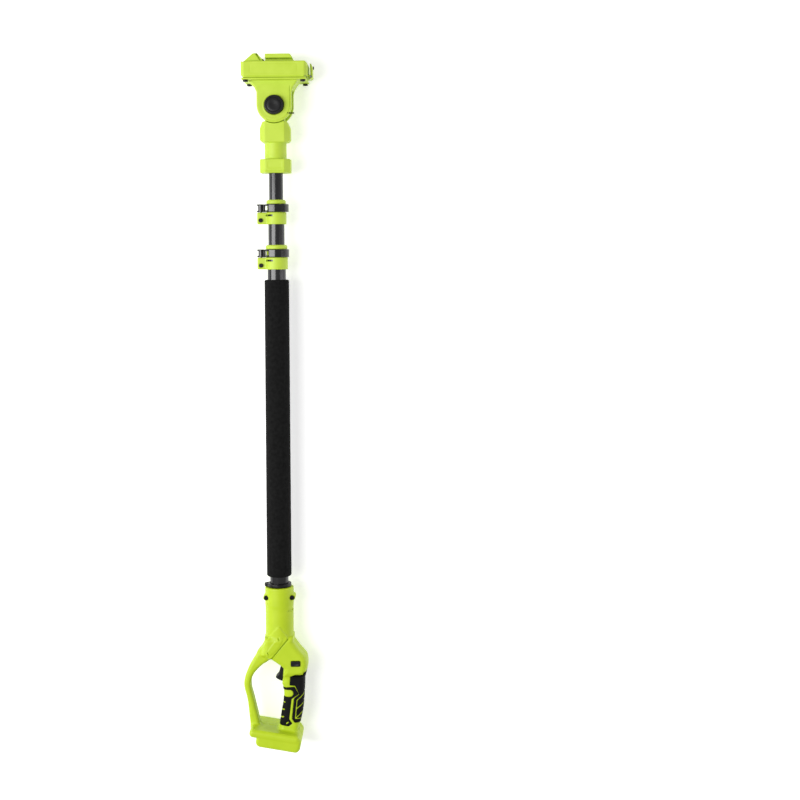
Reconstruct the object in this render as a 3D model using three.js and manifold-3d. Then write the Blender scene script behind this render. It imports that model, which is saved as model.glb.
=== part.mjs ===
// Telescoping extension pole that carries a small battery pruning saw.
// Millimetres. The pole lies along +Y with its front face up (+Z): the handle is at the low end
// and the tilting saw adapter at the high end. Everything is drawn with the pole's axis at
// x = z = 0 and y = 0 at the handle's mouth, and the finished group is moved so that its origin
// is the bottom centre of the whole object's box.
import * as THREE from 'three';
import { mergeVertices } from 'three/addons/utils/BufferGeometryUtils.js';
import Module from 'manifold-3d';

const wasm = await Module();
wasm.setup();

// ---------------------------------------------------------------- driving sizes
const GAP = 0.3; // between two pieces that touch
const FIT = 0.3; // round a pin, a screw or a button in its hole

// Pole: three tubes, each sliding in the next.
const TUBE_WALL = 1.2;
const TUBE_PLAY = 0.5;
const UPPER_TUBE_R = 11.1;
const MID_TUBE_R = UPPER_TUBE_R + TUBE_PLAY + TUBE_WALL;
const LOWER_TUBE_R = MID_TUBE_R + TUBE_PLAY + TUBE_WALL;
const SOCKET_DEPTH = 95; // lower tube inside the handle
const MID_TUBE_LENGTH = 656;
const UPPER_TUBE_LENGTH = 650;
const BUSH_LENGTH = 12;
const BUSH_BORE_R = 7;

// Foam grip on the lower tube.
const FOAM_START = 17;
const FOAM_LENGTH = 467;
const FOAM_WALL = 4.6;
const FOAM_EDGE = 3; // bevel round the lower end

// Clamp collars: a wide ring with a boss, a groove for the lever and a chamfered top ring.
const COLLAR_RING = 18.8;
const COLLAR_GROOVE = 13.3;
const COLLAR_TOP = 6.5;
const COLLAR_LIP = 4; // the tube's end stops this far under the collar's top
const COLLAR_WALL = 3.2;
const GROOVE_WALL = 1.5;
const COLLAR_HEIGHT = COLLAR_RING + COLLAR_GROOVE + COLLAR_TOP;
const BOSS_REACH = 29.7;
const BOSS_HALF_DEPTH = 8;
const CLAMP_BOLT_R = 2;
const CLAMP_BOLT_RISE = 6.2;
const LEVER_R = 19.9;
const LEVER_PIN_R = 1.6;
const LEVER_PIN_X = -23.8;
const LEVER_PIN_Z = 3;
const LEVER_KNUCKLE_R = 4.6;
const LEVER_TIP_ANGLE = -10; // degrees past +X, behind the pole's middle

// How much tube shows between the pieces along the pole.
const FOAM_TO_COLLAR = 16.4;
const MID_SHOWN = 32.5;
const UPPER_SHOWN = 41.9;

// Strap ring round the lower tube, loose on the handle's mouth.
const STRAP_RING_R = 19;
const STRAP_RING_HEIGHT = 5.5;
const STRAP_RING_START = 0.5; // above the handle's mouth
const STRAP_EYE_R = 2.5;
const STRAP_EYE_WALL = 2.5;

// Coupler between the upper tube and the tilting head.
const COUPLER_HALF_WIDTH = 24;
const COUPLER_NECK_R = 17.2;
const COUPLER_HALF_DEPTH = 20.5;
const COUPLER_FOOT = 22;
const COUPLER_NECK = 26;
const COUPLER_BLOCK = 33;
const COUPLER_SOCKET = 18;
const PIVOT_RISE = 106; // from the coupler's foot to the tilt axis
const WIREWAY_R = 6;

// Tilt joint.
const LOBE_R = 27.5;
const LOBE_CLEARANCE = 1.3;
const TONGUE_R = 22;
const TONGUE_HALF_DEPTH = 13;
const EAR_HALF_DEPTH = 24;
const PIVOT_R = 5;
const PIVOT_HEAD_R = 8;
const BUTTON_R = 15;
const BUTTON_FACE_Z = 30;
const BUTTON_TRAVEL = 4;

// Head: yoke plate, battery-shaped case with a rail, release flap.
const CASE_LEFT = -50.7;
const CASE_RIGHT = 52.8;
const CASE_HALF_DEPTH = 37.5;
const CASE_RISE = 41.6; // from the tilt axis to the case's underside
const CASE_HEIGHT = 25.7;
const CASE_WALL = 4;
const YOKE_PLATE = 2.6;
const RAIL_HEIGHT = 12.1;
const RAIL_FLANGE = 6.5;
const RAIL_HALF_DEPTH = 29;
const RAIL_WEB_HALF_DEPTH = 25;
const RAIL_LEFT = -13.4;
const RAIL_RIGHT = 31.4;
const TERMINAL_PITCH = 10;
const BLADE_THICKNESS = 1;
const BLADE_LENGTH = 12;

// Handle: a round neck, a body, a D grip with a guard, and a foot that takes the battery.
const NECK_R = 22.5;
const BODY_HALF_DEPTH = 22;
const GRIP_HALF_DEPTH = 17;
const GUARD_HALF_DEPTH = 12;
const FOOT_TILT = -10;
const FOOT_HALF_DEPTH = 37.5;
const PAD_THICKNESS = 1.2;
const SHELL_SCREW_R = 1.5;
const SHELL_SCREW_HEAD_R = 3;

// ---------------------------------------------------------------- places along the pole
const FOAM_END = FOAM_START + FOAM_LENGTH;
const LOWER_COLLAR_Y = FOAM_END + FOAM_TO_COLLAR;
const LOWER_TUBE_END = LOWER_COLLAR_Y + COLLAR_HEIGHT - COLLAR_LIP;
const UPPER_COLLAR_Y = LOWER_COLLAR_Y + COLLAR_HEIGHT + MID_SHOWN;
const MID_TUBE_END = UPPER_COLLAR_Y + COLLAR_HEIGHT - COLLAR_LIP;
const COUPLER_Y = UPPER_COLLAR_Y + COLLAR_HEIGHT + UPPER_SHOWN;
const UPPER_TUBE_END = COUPLER_Y + COUPLER_SOCKET;
const PIVOT_Y = COUPLER_Y + PIVOT_RISE;
const CASE_Y = PIVOT_Y + CASE_RISE;
const CASE_TOP = CASE_Y + CASE_HEIGHT;
const RAIL_TOP = CASE_TOP + RAIL_HEIGHT;

// ---------------------------------------------------------------- materials
const look = (color, roughness, metalness = 0) =>
  new THREE.MeshStandardMaterial({ color, roughness, metalness });
const LIME = look(0xc3e63c, 0.42);
const BLACK_PLASTIC = look(0x17181a, 0.35);
const BLACK_RUBBER = look(0x1c1c1d, 0.8);
const FOAM = look(0x1d1d1e, 0.95);
const GRAPHITE = look(0x3a3b3e, 0.3, 0.9);
const STEEL = look(0x9a9ca0, 0.35, 1);
const BLACK_STEEL = look(0x1a1a1b, 0.4, 1);
const BRASS = look(0xb8923f, 0.35, 1);

// ---------------------------------------------------------------- solids
const IN_PLACE = new THREE.Matrix4();

/** A closed geometry as a solid. Triangles with no area go, and the faces are turned outward. */
function solid(geometry, place = IN_PLACE) {
  const bare = geometry.clone().applyMatrix4(place);
  bare.deleteAttribute('normal');
  bare.deleteAttribute('uv');
  const merged = mergeVertices(bare, 1e-4);
  const at = merged.attributes.position;
  const faces = [];
  let volume = 0;
  const [a, b, c] = [new THREE.Vector3(), new THREE.Vector3(), new THREE.Vector3()];
  for (let i = 0; i < merged.index.count; i += 3) {
    const face = [0, 1, 2].map((k) => merged.index.getX(i + k));
    if (new Set(face).size < 3) continue;
    faces.push(face);
    [a, b, c].forEach((corner, k) => corner.fromBufferAttribute(at, face[k]));
    volume += a.dot(b.cross(c));
  }
  const triVerts = new Uint32Array(faces.flatMap((face) => (volume < 0 ? face.reverse() : face)));
  return new wasm.Manifold(new wasm.Mesh({ numProp: 3, vertProperties: at.array, triVerts }));
}

const join = (first, ...rest) => rest.reduce((sum, next) => sum.add(next), first);
const cut = (first, ...rest) => rest.reduce((left, next) => left.subtract(next), first);

function box([x0, x1], [y0, y1], [z0, z1], place) {
  const geometry = new THREE.BoxGeometry(x1 - x0, y1 - y0, z1 - z0);
  return solid(geometry.translate((x0 + x1) / 2, (y0 + y1) / 2, (z0 + z1) / 2), place);
}

/** A cylinder along one axis; at gives its two other coordinates in the order x, y, z. */
function rod(axis, radius, [from, to], at = [0, 0], sides = 16, place = IN_PLACE) {
  const geometry = new THREE.CylinderGeometry(radius, radius, to - from, sides);
  const middle = (from + to) / 2;
  if (axis === 'x') geometry.rotateZ(Math.PI / 2).translate(middle, at[0], at[1]);
  if (axis === 'y') geometry.translate(at[0], middle, at[1]);
  if (axis === 'z') geometry.rotateX(Math.PI / 2).translate(at[0], at[1], middle);
  return solid(geometry, place);
}

/** A profile of [radius, y] points turned about the pole's axis. */
const turned = (profile, sides = 32) =>
  solid(new THREE.LatheGeometry(profile.map(([r, y]) => new THREE.Vector2(r, y)), sides));

/** A round tube about the pole's axis. */
const tube = (outer, inner, from, to, sides = 32) =>
  turned([[inner, from], [outer, from], [outer, to], [inner, to], [inner, from]], sides);

const shapeOf = (points) => new THREE.Shape(points.map(([x, y]) => new THREE.Vector2(x, y)));

/** A flat outline given thickness along Z, its edges chamfered inside the outline. */
function plate(outline, [z0, z1], chamfer = 0, place = IN_PLACE, curveSegments = 4) {
  const shape = Array.isArray(outline) ? shapeOf(outline) : outline;
  const geometry = new THREE.ExtrudeGeometry(shape, {
    depth: z1 - z0 - 2 * chamfer,
    bevelEnabled: chamfer > 0,
    bevelThickness: chamfer,
    bevelSize: chamfer,
    bevelOffset: -chamfer,
    bevelSegments: 1,
    curveSegments,
  });
  return solid(geometry.translate(0, 0, z0 + chamfer), place);
}

/** A rectangle with quarter-round corners. */
function roundedRect([x0, x1], [y0, y1], r) {
  const shape = new THREE.Shape();
  shape.absarc(x1 - r, y0 + r, r, -Math.PI / 2, 0);
  shape.absarc(x1 - r, y1 - r, r, 0, Math.PI / 2);
  shape.absarc(x0 + r, y1 - r, r, Math.PI / 2, Math.PI);
  shape.absarc(x0 + r, y0 + r, r, Math.PI, 1.5 * Math.PI);
  return shape;
}

const part = new THREE.Group();

/** Adds one solid to the model as a named mesh with a material of its own. */
function add(name, shape, material) {
  const { vertProperties, triVerts } = shape.getMesh();
  const geometry = new THREE.BufferGeometry();
  geometry.setAttribute('position', new THREE.BufferAttribute(new Float32Array(vertProperties), 3));
  geometry.setIndex(new THREE.BufferAttribute(new Uint32Array(triVerts), 1));
  geometry.computeVertexNormals();
  const mesh = new THREE.Mesh(geometry, material.clone());
  mesh.name = name;
  part.add(mesh);
}

/** The front (+Z) or back (-Z) half of a solid that is split on the pole's middle plane. */
function half(shape, side) {
  const far = 200;
  const near = GAP / 2;
  const z = side > 0 ? [near, far] : [-far, -near];
  return shape.intersect(box([-far, far], [-4 * far, 6 * far], z));
}

// A shell screw runs along Z from a counterbore in the back half into the front half.
const SHELL_SCREW_REACH = 8;
const SHELL_SCREW_HEAD = 2;

const shellScrew = ([x, y], seat) => join(
  rod('z', SHELL_SCREW_HEAD_R, [-seat - SHELL_SCREW_HEAD, -seat], [x, y], 12),
  rod('z', SHELL_SCREW_R, [-seat - 1, SHELL_SCREW_REACH], [x, y], 8),
);

const shellScrewHole = ([x, y], seat) => join(
  rod('z', SHELL_SCREW_HEAD_R + FIT, [-60, -seat + GAP], [x, y], 12),
  rod('z', SHELL_SCREW_R + FIT, [-seat - 1, SHELL_SCREW_REACH + GAP], [x, y], 8),
);

// ---------------------------------------------------------------- pole tubes, bushes and foam
function poleTube(name, outer, from, to) {
  add(name, tube(outer, outer - TUBE_WALL, from, to), GRAPHITE);
}

/** The plastic bush on a tube's lower end: it slides in the next tube and plugs into its own. */
function guideBush(name, tubeR, tubeFrom) {
  const outer = tubeR + TUBE_PLAY - GAP;
  const plug = tubeR - TUBE_WALL - GAP;
  const seat = tubeFrom - GAP;
  const foot = seat - BUSH_LENGTH;
  const top = seat + BUSH_LENGTH;
  add(name, turned([
    [BUSH_BORE_R, foot], [outer, foot], [outer, seat], [plug, seat],
    [plug, top], [BUSH_BORE_R, top], [BUSH_BORE_R, foot],
  ]), BLACK_PLASTIC);
}

const MID_TUBE_START = MID_TUBE_END - MID_TUBE_LENGTH;
const UPPER_TUBE_START = UPPER_TUBE_END - UPPER_TUBE_LENGTH;

function pole() {
  poleTube('lower_tube', LOWER_TUBE_R, -SOCKET_DEPTH, LOWER_TUBE_END);
  poleTube('mid_tube', MID_TUBE_R, MID_TUBE_START, MID_TUBE_END);
  poleTube('upper_tube', UPPER_TUBE_R, UPPER_TUBE_START, UPPER_TUBE_END);
  guideBush('mid_guide_bush', MID_TUBE_R, MID_TUBE_START);
  guideBush('upper_guide_bush', UPPER_TUBE_R, UPPER_TUBE_START);
  const inner = LOWER_TUBE_R + GAP;
  const outer = inner + FOAM_WALL;
  add('foam_sleeve', turned([
    [inner, FOAM_START], [outer - FOAM_EDGE, FOAM_START], [outer, FOAM_START + FOAM_EDGE],
    [outer, FOAM_END], [inner, FOAM_END], [inner, FOAM_START],
  ]), FOAM);
}

/** The loose ring that the shoulder strap clips to, with its eye on the left. */
function strapRing() {
  const [from, to] = [STRAP_RING_START, STRAP_RING_START + STRAP_RING_HEIGHT];
  const bore = LOWER_TUBE_R + FIT;
  const eye = [-STRAP_RING_R + STRAP_EYE_R / 5, 0];
  // The eye's hole stops a millimetre short of the bore.
  const eyeHole = cut(
    rod('y', STRAP_EYE_R, [from - 1, to + 1], eye, 16),
    rod('y', bore + 1, [from - 2, to + 2], [0, 0], 32),
  );
  add('strap_ring', cut(
    join(
      rod('y', STRAP_RING_R, [from, to], [0, 0], 32),
      rod('y', STRAP_EYE_R + STRAP_EYE_WALL, [from, to], eye, 24),
    ),
    rod('y', bore, [from - 1, to + 1], [0, 0], 32),
    eyeHole,
  ), BLACK_PLASTIC);
}

// ---------------------------------------------------------------- clamp collars and levers
/** The collar on a tube's top end, with its clamp slit, lever groove and boss. */
function collar(name, tubeR, y) {
  const outer = tubeR + COLLAR_WALL;
  const groove = tubeR + GROOVE_WALL;
  const top = y + COLLAR_HEIGHT;
  const ringTop = y + COLLAR_RING;
  const grooveTop = top - COLLAR_TOP;
  const ring = turned([
    [0, y], [outer, y], [outer, ringTop], [groove, ringTop], [groove, grooveTop],
    [outer - 0.7, grooveTop], [outer - 0.7, top - 2], [outer - 2.7, top], [0, top],
  ]);
  const boss = box([-BOSS_REACH, -tubeR], [y, ringTop], [-BOSS_HALF_DEPTH, BOSS_HALF_DEPTH]);
  const lipR = tubeR - TUBE_WALL - TUBE_PLAY + GAP;
  add(name, cut(
    join(ring, boss),
    rod('y', tubeR + GAP, [y - 1, top - COLLAR_LIP + GAP], [0, 0], 32),
    rod('y', lipR, [y, top + 1], [0, 0], 32),
    box([-BOSS_REACH - 1, -tubeR + 1], [y - 1, ringTop - 4], [-1, 1]),
    box([-14.7, -5.2], [y + 13, y + 15], [tubeR - 8, outer + 1]),
    rod('z', CLAMP_BOLT_R + FIT, [-20, 20], [LEVER_PIN_X, y + CLAMP_BOLT_RISE], 16),
    rod('y', LEVER_PIN_R + FIT, [y + 11.7, ringTop + 1], [LEVER_PIN_X, LEVER_PIN_Z], 16),
  ), LIME);
}

/** The clamp screw through the collar's boss, with its round head in front and nut behind. */
function clampBolt(name, y) {
  const at = [LEVER_PIN_X, y + CLAMP_BOLT_RISE];
  const seat = BOSS_HALF_DEPTH + GAP;
  add(name, join(
    rod('z', 3.3, [seat, seat + 2], at, 20),
    rod('z', CLAMP_BOLT_R, [-seat - 2, seat + 1], at, 16),
    rod('z', 3.6, [-seat - 2.4, -seat], at, 6),
  ), BLACK_STEEL);
}

/** The cam lever: a band wrapped round the front of the groove from a knuckle on its pin. */
function camLever(name, tubeR, y) {
  const inner = tubeR + GROOVE_WALL + 0.4;
  const from = y + COLLAR_RING + GAP;
  const to = y + COLLAR_HEIGHT - COLLAR_TOP - GAP;
  const [knuckleAngle, tip] = [172, LEVER_TIP_ANGLE].map(THREE.MathUtils.degToRad);
  const band = new THREE.Shape();
  band.absarc(0, 0, LEVER_R, tip, knuckleAngle, false);
  band.absarc(0, 0, inner, knuckleAngle, tip, true);
  // The band is drawn in the x-z plane, so its outline is stood up along the pole.
  const standUp = new THREE.Matrix4().makeRotationX(Math.PI / 2).setPosition(0, to, 0);
  const height = to - from;
  const pin = [LEVER_PIN_X, LEVER_PIN_Z];
  const prong = (y0) => box([LEVER_PIN_X - 6.5, LEVER_PIN_X], [y0, y0 + 2.6], [1.5, 4.5]);
  add(name, cut(
    join(
      plate(band, [0, height], 0, standUp, 16),
      rod('y', LEVER_KNUCKLE_R, [from, to], pin, 20),
      prong(from),
      prong(to - 2.6),
    ),
    rod('y', LEVER_PIN_R + FIT, [from - 1, to + 1], pin, 16),
    box([-16.5, -11.5], [from + 3, to - 3], [2, 25]),
  ), BLACK_PLASTIC);
}

function leverPin(name, y) {
  const [from, to] = [y + 12, y + COLLAR_HEIGHT - COLLAR_TOP - 2 * GAP];
  add(name, rod('y', LEVER_PIN_R, [from, to], [LEVER_PIN_X, LEVER_PIN_Z], 16), STEEL);
}

function clamps() {
  const stages = [['lower', LOWER_TUBE_R, LOWER_COLLAR_Y], ['upper', MID_TUBE_R, UPPER_COLLAR_Y]];
  for (const [stage, tubeR, y] of stages) {
    collar(`${stage}_collar`, tubeR, y);
    clampBolt(`${stage}_clamp_bolt`, y);
    camLever(`${stage}_lever`, tubeR, y);
    leverPin(`${stage}_lever_pin`, y);
  }
}

// ---------------------------------------------------------------- coupler
const COUPLER_BLOCK_Y = COUPLER_Y + COUPLER_FOOT + COUPLER_NECK;
const COUPLER_SCREWS = [
  [-19, COUPLER_Y + 11], [19, COUPLER_Y + 11], [-18, COUPLER_BLOCK_Y + 10], [18, COUPLER_BLOCK_Y + 10],
];
const COUPLER_SCREW_SEAT = 12;

/** The two-part coupler: a socket for the upper tube, a neck, a block and the pivot's tongue. */
function coupler() {
  const neckY = COUPLER_Y + COUPLER_FOOT;
  const blockY = COUPLER_BLOCK_Y;
  const topY = blockY + COUPLER_BLOCK;
  const [w, d] = [COUPLER_HALF_WIDTH, COUPLER_HALF_DEPTH];
  const blockOutline = [
    [-w + 4, blockY], [w - 4, blockY], [w, blockY + 4], [w, topY - 11],
    [w - 5, topY], [-w + 5, topY], [-w, topY - 11], [-w, blockY + 4],
  ];
  const whole = cut(
    join(
      plate(roundedRect([-w, w], [COUPLER_Y, neckY], 4), [-d, d], 3),
      rod('y', COUPLER_NECK_R, [neckY - 2, blockY + 2], [0, 0], 32),
      cut(plate(blockOutline, [-d, d], 3),
        rod('z', LOBE_R + LOBE_CLEARANCE, [-d - 1, d + 1], [0, PIVOT_Y], 40)),
      rod('z', TONGUE_R, [-TONGUE_HALF_DEPTH, TONGUE_HALF_DEPTH], [0, PIVOT_Y], 36),
      box([-15, 15], [topY - 12, PIVOT_Y], [-TONGUE_HALF_DEPTH, TONGUE_HALF_DEPTH]),
    ),
    rod('y', UPPER_TUBE_R + GAP, [COUPLER_Y - 1, UPPER_TUBE_END + GAP], [0, 0], 32),
    rod('y', WIREWAY_R, [COUPLER_Y, PIVOT_Y + TONGUE_R + 1]),
    rod('z', PIVOT_R + FIT, [-30, 30], [0, PIVOT_Y]),
    ...COUPLER_SCREWS.map((at) => shellScrewHole(at, COUPLER_SCREW_SEAT)),
  );
  add('coupler_front', half(whole, 1), LIME);
  add('coupler_back', half(whole, -1), LIME);
  COUPLER_SCREWS.forEach((at, i) =>
    add(`coupler_screw_${i + 1}`, shellScrew(at, COUPLER_SCREW_SEAT), BLACK_STEEL));
}

// ---------------------------------------------------------------- tilting head
const EAR_INNER = TONGUE_HALF_DEPTH + 0.6;
const RECESS_FLOOR = 18;
const HEAD_SCREWS = [
  [CASE_LEFT + 7, 30], [CASE_RIGHT - 7, 30], [CASE_LEFT + 7, -30], [CASE_RIGHT - 7, -30],
];
const HEAD_SCREW_HEAD_R = 4;
const HEAD_SCREW_HEAD = 3;
const STOP_PIN_R = 1;
const STOP_PIN_AT = [PIVOT_Y - 13, EAR_HALF_DEPTH - 2]; // in the front ear's rim, clear of the coupler

/** The yoke: two ears round the tongue that flare into the plate under the case. */
function yoke() {
  const plateTop = CASE_Y - GAP;
  const plateY = plateTop - YOKE_PLATE;
  const shoulderY = PIVOT_Y + 24;
  const ears = new THREE.Shape();
  ears.absarc(0, PIVOT_Y, LOBE_R, Math.PI, 2 * Math.PI, false);
  ears.lineTo(LOBE_R, shoulderY);
  ears.lineTo(LOBE_R + 11, plateY + 1);
  ears.lineTo(-LOBE_R - 15, plateY + 1);
  ears.lineTo(-LOBE_R, shoulderY);
  const slotTop = PIVOT_Y + TONGUE_R + 2.5;
  const inner = [-EAR_INNER, EAR_INNER];
  const outline = roundedRect([CASE_LEFT + 1, CASE_RIGHT - 1], [plateY, plateTop], 1);
  add('yoke', cut(
    join(
      plate(ears, [-EAR_HALF_DEPTH, EAR_HALF_DEPTH], 2, IN_PLACE, 10),
      plate(outline, [-CASE_HALF_DEPTH + 1, CASE_HALF_DEPTH - 1]),
    ),
    box([-60, 60], [PIVOT_Y - 40, slotTop], inner),
    rod('z', BUTTON_R + FIT, [RECESS_FLOOR, 40], [0, PIVOT_Y], 28),
    rod('z', PIVOT_R + FIT, [-40, 40], [0, PIVOT_Y]),
    rod('z', PIVOT_HEAD_R + FIT, [-40, -RECESS_FLOOR], [0, PIVOT_Y]),
    rod('y', WIREWAY_R, [slotTop - 1, plateTop + 1]),
    rod('x', STOP_PIN_R + FIT, [18, 40], STOP_PIN_AT, 12),
    ...HEAD_SCREWS.map(([x, z]) => rod('y', 2 + FIT, [plateY - 1, plateTop + 1], [x, z], 8)),
  ), LIME);
  add('stop_pin', rod('x', STOP_PIN_R, [18.5, 31.5], STOP_PIN_AT, 12), BLACK_STEEL);
  HEAD_SCREWS.forEach(([x, z], i) => add(`head_screw_${i + 1}`, join(
    rod('y', HEAD_SCREW_HEAD_R, [plateY - GAP - HEAD_SCREW_HEAD, plateY - GAP], [x, z], 12),
    rod('y', 2, [plateY - GAP - 1, CASE_Y + 12], [x, z], 8),
  ), BLACK_STEEL));
}

/** The pivot bolt through both ears and the tongue, its nut sunk in the back ear. */
function pivot() {
  const at = [0, PIVOT_Y];
  add('pivot_bolt', join(
    rod('z', PIVOT_HEAD_R, [RECESS_FLOOR + GAP, RECESS_FLOOR + 3], at),
    rod('z', PIVOT_R, [-EAR_HALF_DEPTH, RECESS_FLOOR + 1], at),
  ), STEEL);
  add('pivot_nut', cut(
    rod('z', PIVOT_HEAD_R, [-EAR_HALF_DEPTH, -RECESS_FLOOR - GAP], at, 6),
    rod('z', PIVOT_R + FIT, [-40, 0], at),
  ), STEEL);
  const buttonFoot = RECESS_FLOOR + BUTTON_TRAVEL + 0.5;
  const button = turnedOnPivot([
    [PIVOT_HEAD_R + 2, buttonFoot], [BUTTON_R, buttonFoot], [BUTTON_R, BUTTON_FACE_Z - 1],
    [BUTTON_R - 1, BUTTON_FACE_Z], [BUTTON_R - 3.5, BUTTON_FACE_Z],
    [BUTTON_R - 4.5, BUTTON_FACE_Z - 1.2],
    [BUTTON_R - 5, BUTTON_FACE_Z], [0, BUTTON_FACE_Z], [0, BUTTON_FACE_Z - 3],
    [PIVOT_HEAD_R + 2, BUTTON_FACE_Z - 3], [PIVOT_HEAD_R + 2, buttonFoot],
  ]);
  add('tilt_button', button, BLACK_PLASTIC);
}

/** A profile of [radius, z] points turned about the tilt axis. */
function turnedOnPivot(profile, sides = 28) {
  const place = new THREE.Matrix4().makeRotationX(Math.PI / 2).setPosition(0, PIVOT_Y, 0);
  const points = profile.map(([r, z]) => new THREE.Vector2(r, z));
  return solid(new THREE.LatheGeometry(points, sides), place);
}

const BLADE_ROWS = [-TERMINAL_PITCH, 0, TERMINAL_PITCH];
const SLOT_START = 6;
const BLOCK_HALF_DEPTH = 15;
const LATCH = { left: -19, right: -15, halfDepth: 10, travel: 5 };
const FLAP_HINGE = [CASE_RIGHT + 4.6, CASE_Y + 3.2];
const FLAP_PIN_R = 1.2;
const FLAP_FACE = 2.3; // from the hinge to the flap's outer face
const STUD_R = 2.6;
const FLAP_HALF_DEPTH = 14;
const LUG = 3.2;

/** The battery-shaped case: a bevelled block, the latch wedge and the T rail on top. */
function headCase() {
  const [l, r, y, top] = [CASE_LEFT, CASE_RIGHT, CASE_Y, CASE_TOP];
  const block = plate([
    [l + 4, y], [r - 4, y], [r, y + 4], [r, top - 3.5], [r - 3.5, top], [l, top], [l, y + 4],
  ], [-CASE_HALF_DEPTH, CASE_HALF_DEPTH], 3);
  const wedge = plate([
    [l, top - 8], [l, top - 3], [l + 18, top + 12.5], [l + 23.7, top + 14.3],
    [l + 27, top + 11], [l + 36.3, top], [l + 36.3, top - 8],
  ], [-RAIL_HALF_DEPTH, RAIL_HALF_DEPTH], 1);
  const flangeY = RAIL_TOP - RAIL_FLANGE;
  const web = plate([
    [RAIL_LEFT, top - 2], [RAIL_RIGHT, top - 2],
    [RAIL_RIGHT - 2.5, flangeY + 1], [RAIL_LEFT, flangeY + 1],
  ], [-RAIL_WEB_HALF_DEPTH, RAIL_WEB_HALF_DEPTH]);
  const flange = plate([
    [RAIL_LEFT, flangeY], [RAIL_RIGHT - 2, flangeY], [RAIL_RIGHT - 4, RAIL_TOP - 2.5],
    [RAIL_RIGHT - 6.5, RAIL_TOP], [RAIL_LEFT, RAIL_TOP],
  ], [-RAIL_HALF_DEPTH, RAIL_HALF_DEPTH]);
  const lug = (z) => join(
    box([r - 2, FLAP_HINGE[0]], [y + 0.5, FLAP_HINGE[1] + 2.6], [z, z + LUG]),
    rod('z', 2.6, [z, z + LUG], FLAP_HINGE, 16),
  );
  const lugs = [FLAP_HALF_DEPTH + GAP, -FLAP_HALF_DEPTH - GAP - LUG].map(lug);
  const slits = BLADE_ROWS.map((z) =>
    box([SLOT_START, RAIL_RIGHT + 1], [top - CASE_WALL - 1, RAIL_TOP + 1], [z - 1.2, z + 1.2]));
  add('head_case', cut(
    join(block, wedge, web, flange, ...lugs),
    box([-36, 36], [y - 1, top - CASE_WALL], [-31, 31]),
    box([LATCH.left - FIT, LATCH.right + FIT], [top - 8, RAIL_TOP + 4],
      [-LATCH.halfDepth - FIT, LATCH.halfDepth + FIT]),
    rod('z', FLAP_PIN_R + FIT, [-30, 30], FLAP_HINGE, 12),
    ...slits,
    ...HEAD_SCREWS.map(([x, z]) => rod('y', 2 + FIT, [y - 1, y + 12 + GAP], [x, z], 8)),
  ), LIME);
}

/** Terminal block under the rail's slits, and the contact blades that stand in them. */
function headTerminals() {
  const blockTop = CASE_TOP - CASE_WALL - GAP;
  add('head_terminal_block',
    box([SLOT_START, SLOT_START + 22], [blockTop - 9, blockTop], [-BLOCK_HALF_DEPTH, BLOCK_HALF_DEPTH]),
    BLACK_PLASTIC);
  BLADE_ROWS.forEach((z, i) => {
    const x = SLOT_START + 4;
    add(`head_terminal_blade_${i + 1}`, box(
      [x, x + BLADE_LENGTH], [blockTop + GAP, RAIL_TOP - 3],
      [z - BLADE_THICKNESS / 2, z + BLADE_THICKNESS / 2],
    ), BRASS);
  });
}

/** The release flap on the case's right end, its pin and stud, and the latch that it drops. */
function release() {
  const [x, y] = FLAP_HINGE;
  add('release_flap', cut(
    join(
      rod('z', 2.4, [-FLAP_HALF_DEPTH, FLAP_HALF_DEPTH], FLAP_HINGE, 16),
      plate([
        [x - 0.8, y - 1], [x + FLAP_FACE - 0.1, y - 1], [x + FLAP_FACE, y + 12], [x + 1, y + 19.5],
        [x - 1, y + 21], [x - 1.4, y + 19],
      ], [-FLAP_HALF_DEPTH, FLAP_HALF_DEPTH], 0.6),
    ),
    rod('z', FLAP_PIN_R + FIT, [-30, 30], FLAP_HINGE, 12),
  ), LIME);
  const stud = rod('x', STUD_R, [x + FLAP_FACE + GAP, x + 4.2], [y + 15, 0], 16);
  add('release_stud', stud, BLACK_PLASTIC);
  const pinReach = FLAP_HALF_DEPTH + LUG;
  add('release_pin', rod('z', FLAP_PIN_R, [-pinReach, pinReach], FLAP_HINGE, 12), STEEL);
  add('latch_hook', plate([
    [LATCH.left, CASE_TOP - 9], [LATCH.right, CASE_TOP - 9],
    [LATCH.right, CASE_TOP + 3], [LATCH.left, CASE_TOP + 7.5],
  ], [-LATCH.halfDepth, LATCH.halfDepth]), BLACK_PLASTIC);
}

// ---------------------------------------------------------------- handle
// The foot is drawn level and then turned, because the battery slides in at a slant.
const FOOT = new THREE.Matrix4()
  .makeRotationZ(THREE.MathUtils.degToRad(FOOT_TILT))
  .setPosition(-2.5, -222, 0);
const FOOT_BOTTOM = -25;
const SLOT_ROOF = FOOT_BOTTOM + RAIL_HEIGHT + 0.5;
const SLOT_LIP_TOP = FOOT_BOTTOM + RAIL_HEIGHT - RAIL_FLANGE - 0.4;
const FOOT_BLOCK = { left: 6, right: 26, top: -5, halfDepth: BLOCK_HALF_DEPTH };

const TRIGGER_PIVOT = [8, -119];
const TRIGGER_HALF_DEPTH = 6.3;
const TRIGGER_PIN_R = 1.5;
const SWITCH_POCKET = { left: 11, right: 34, bottom: -152, top: -104, halfDepth: 10 };
const SWITCH_LEFT = 18;
const LOCK_BUTTON = {
  at: [26.2, -116.8], width: 14.2, height: 8.4, face: BODY_HALF_DEPTH + 2, flange: 2,
};
const LOCK_FLANGE_TOP = 17.2;
const NECK_EARS = [[-20.1, -15.8], [20.7, -15.8]];
const NECK_EAR_HALF_DEPTH = 10;
const NECK_EAR_R = 4.9;
const NECK_SCREW_R = 1.8;
const NECK_SCREW_HEAD_R = 3.6;
const HANDLE_SCREWS = [[25, -97], [-21, -100], [15, -162], [7, -214], [-39, -205]];
const HANDLE_SCREW_SEAT = 8;

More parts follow.
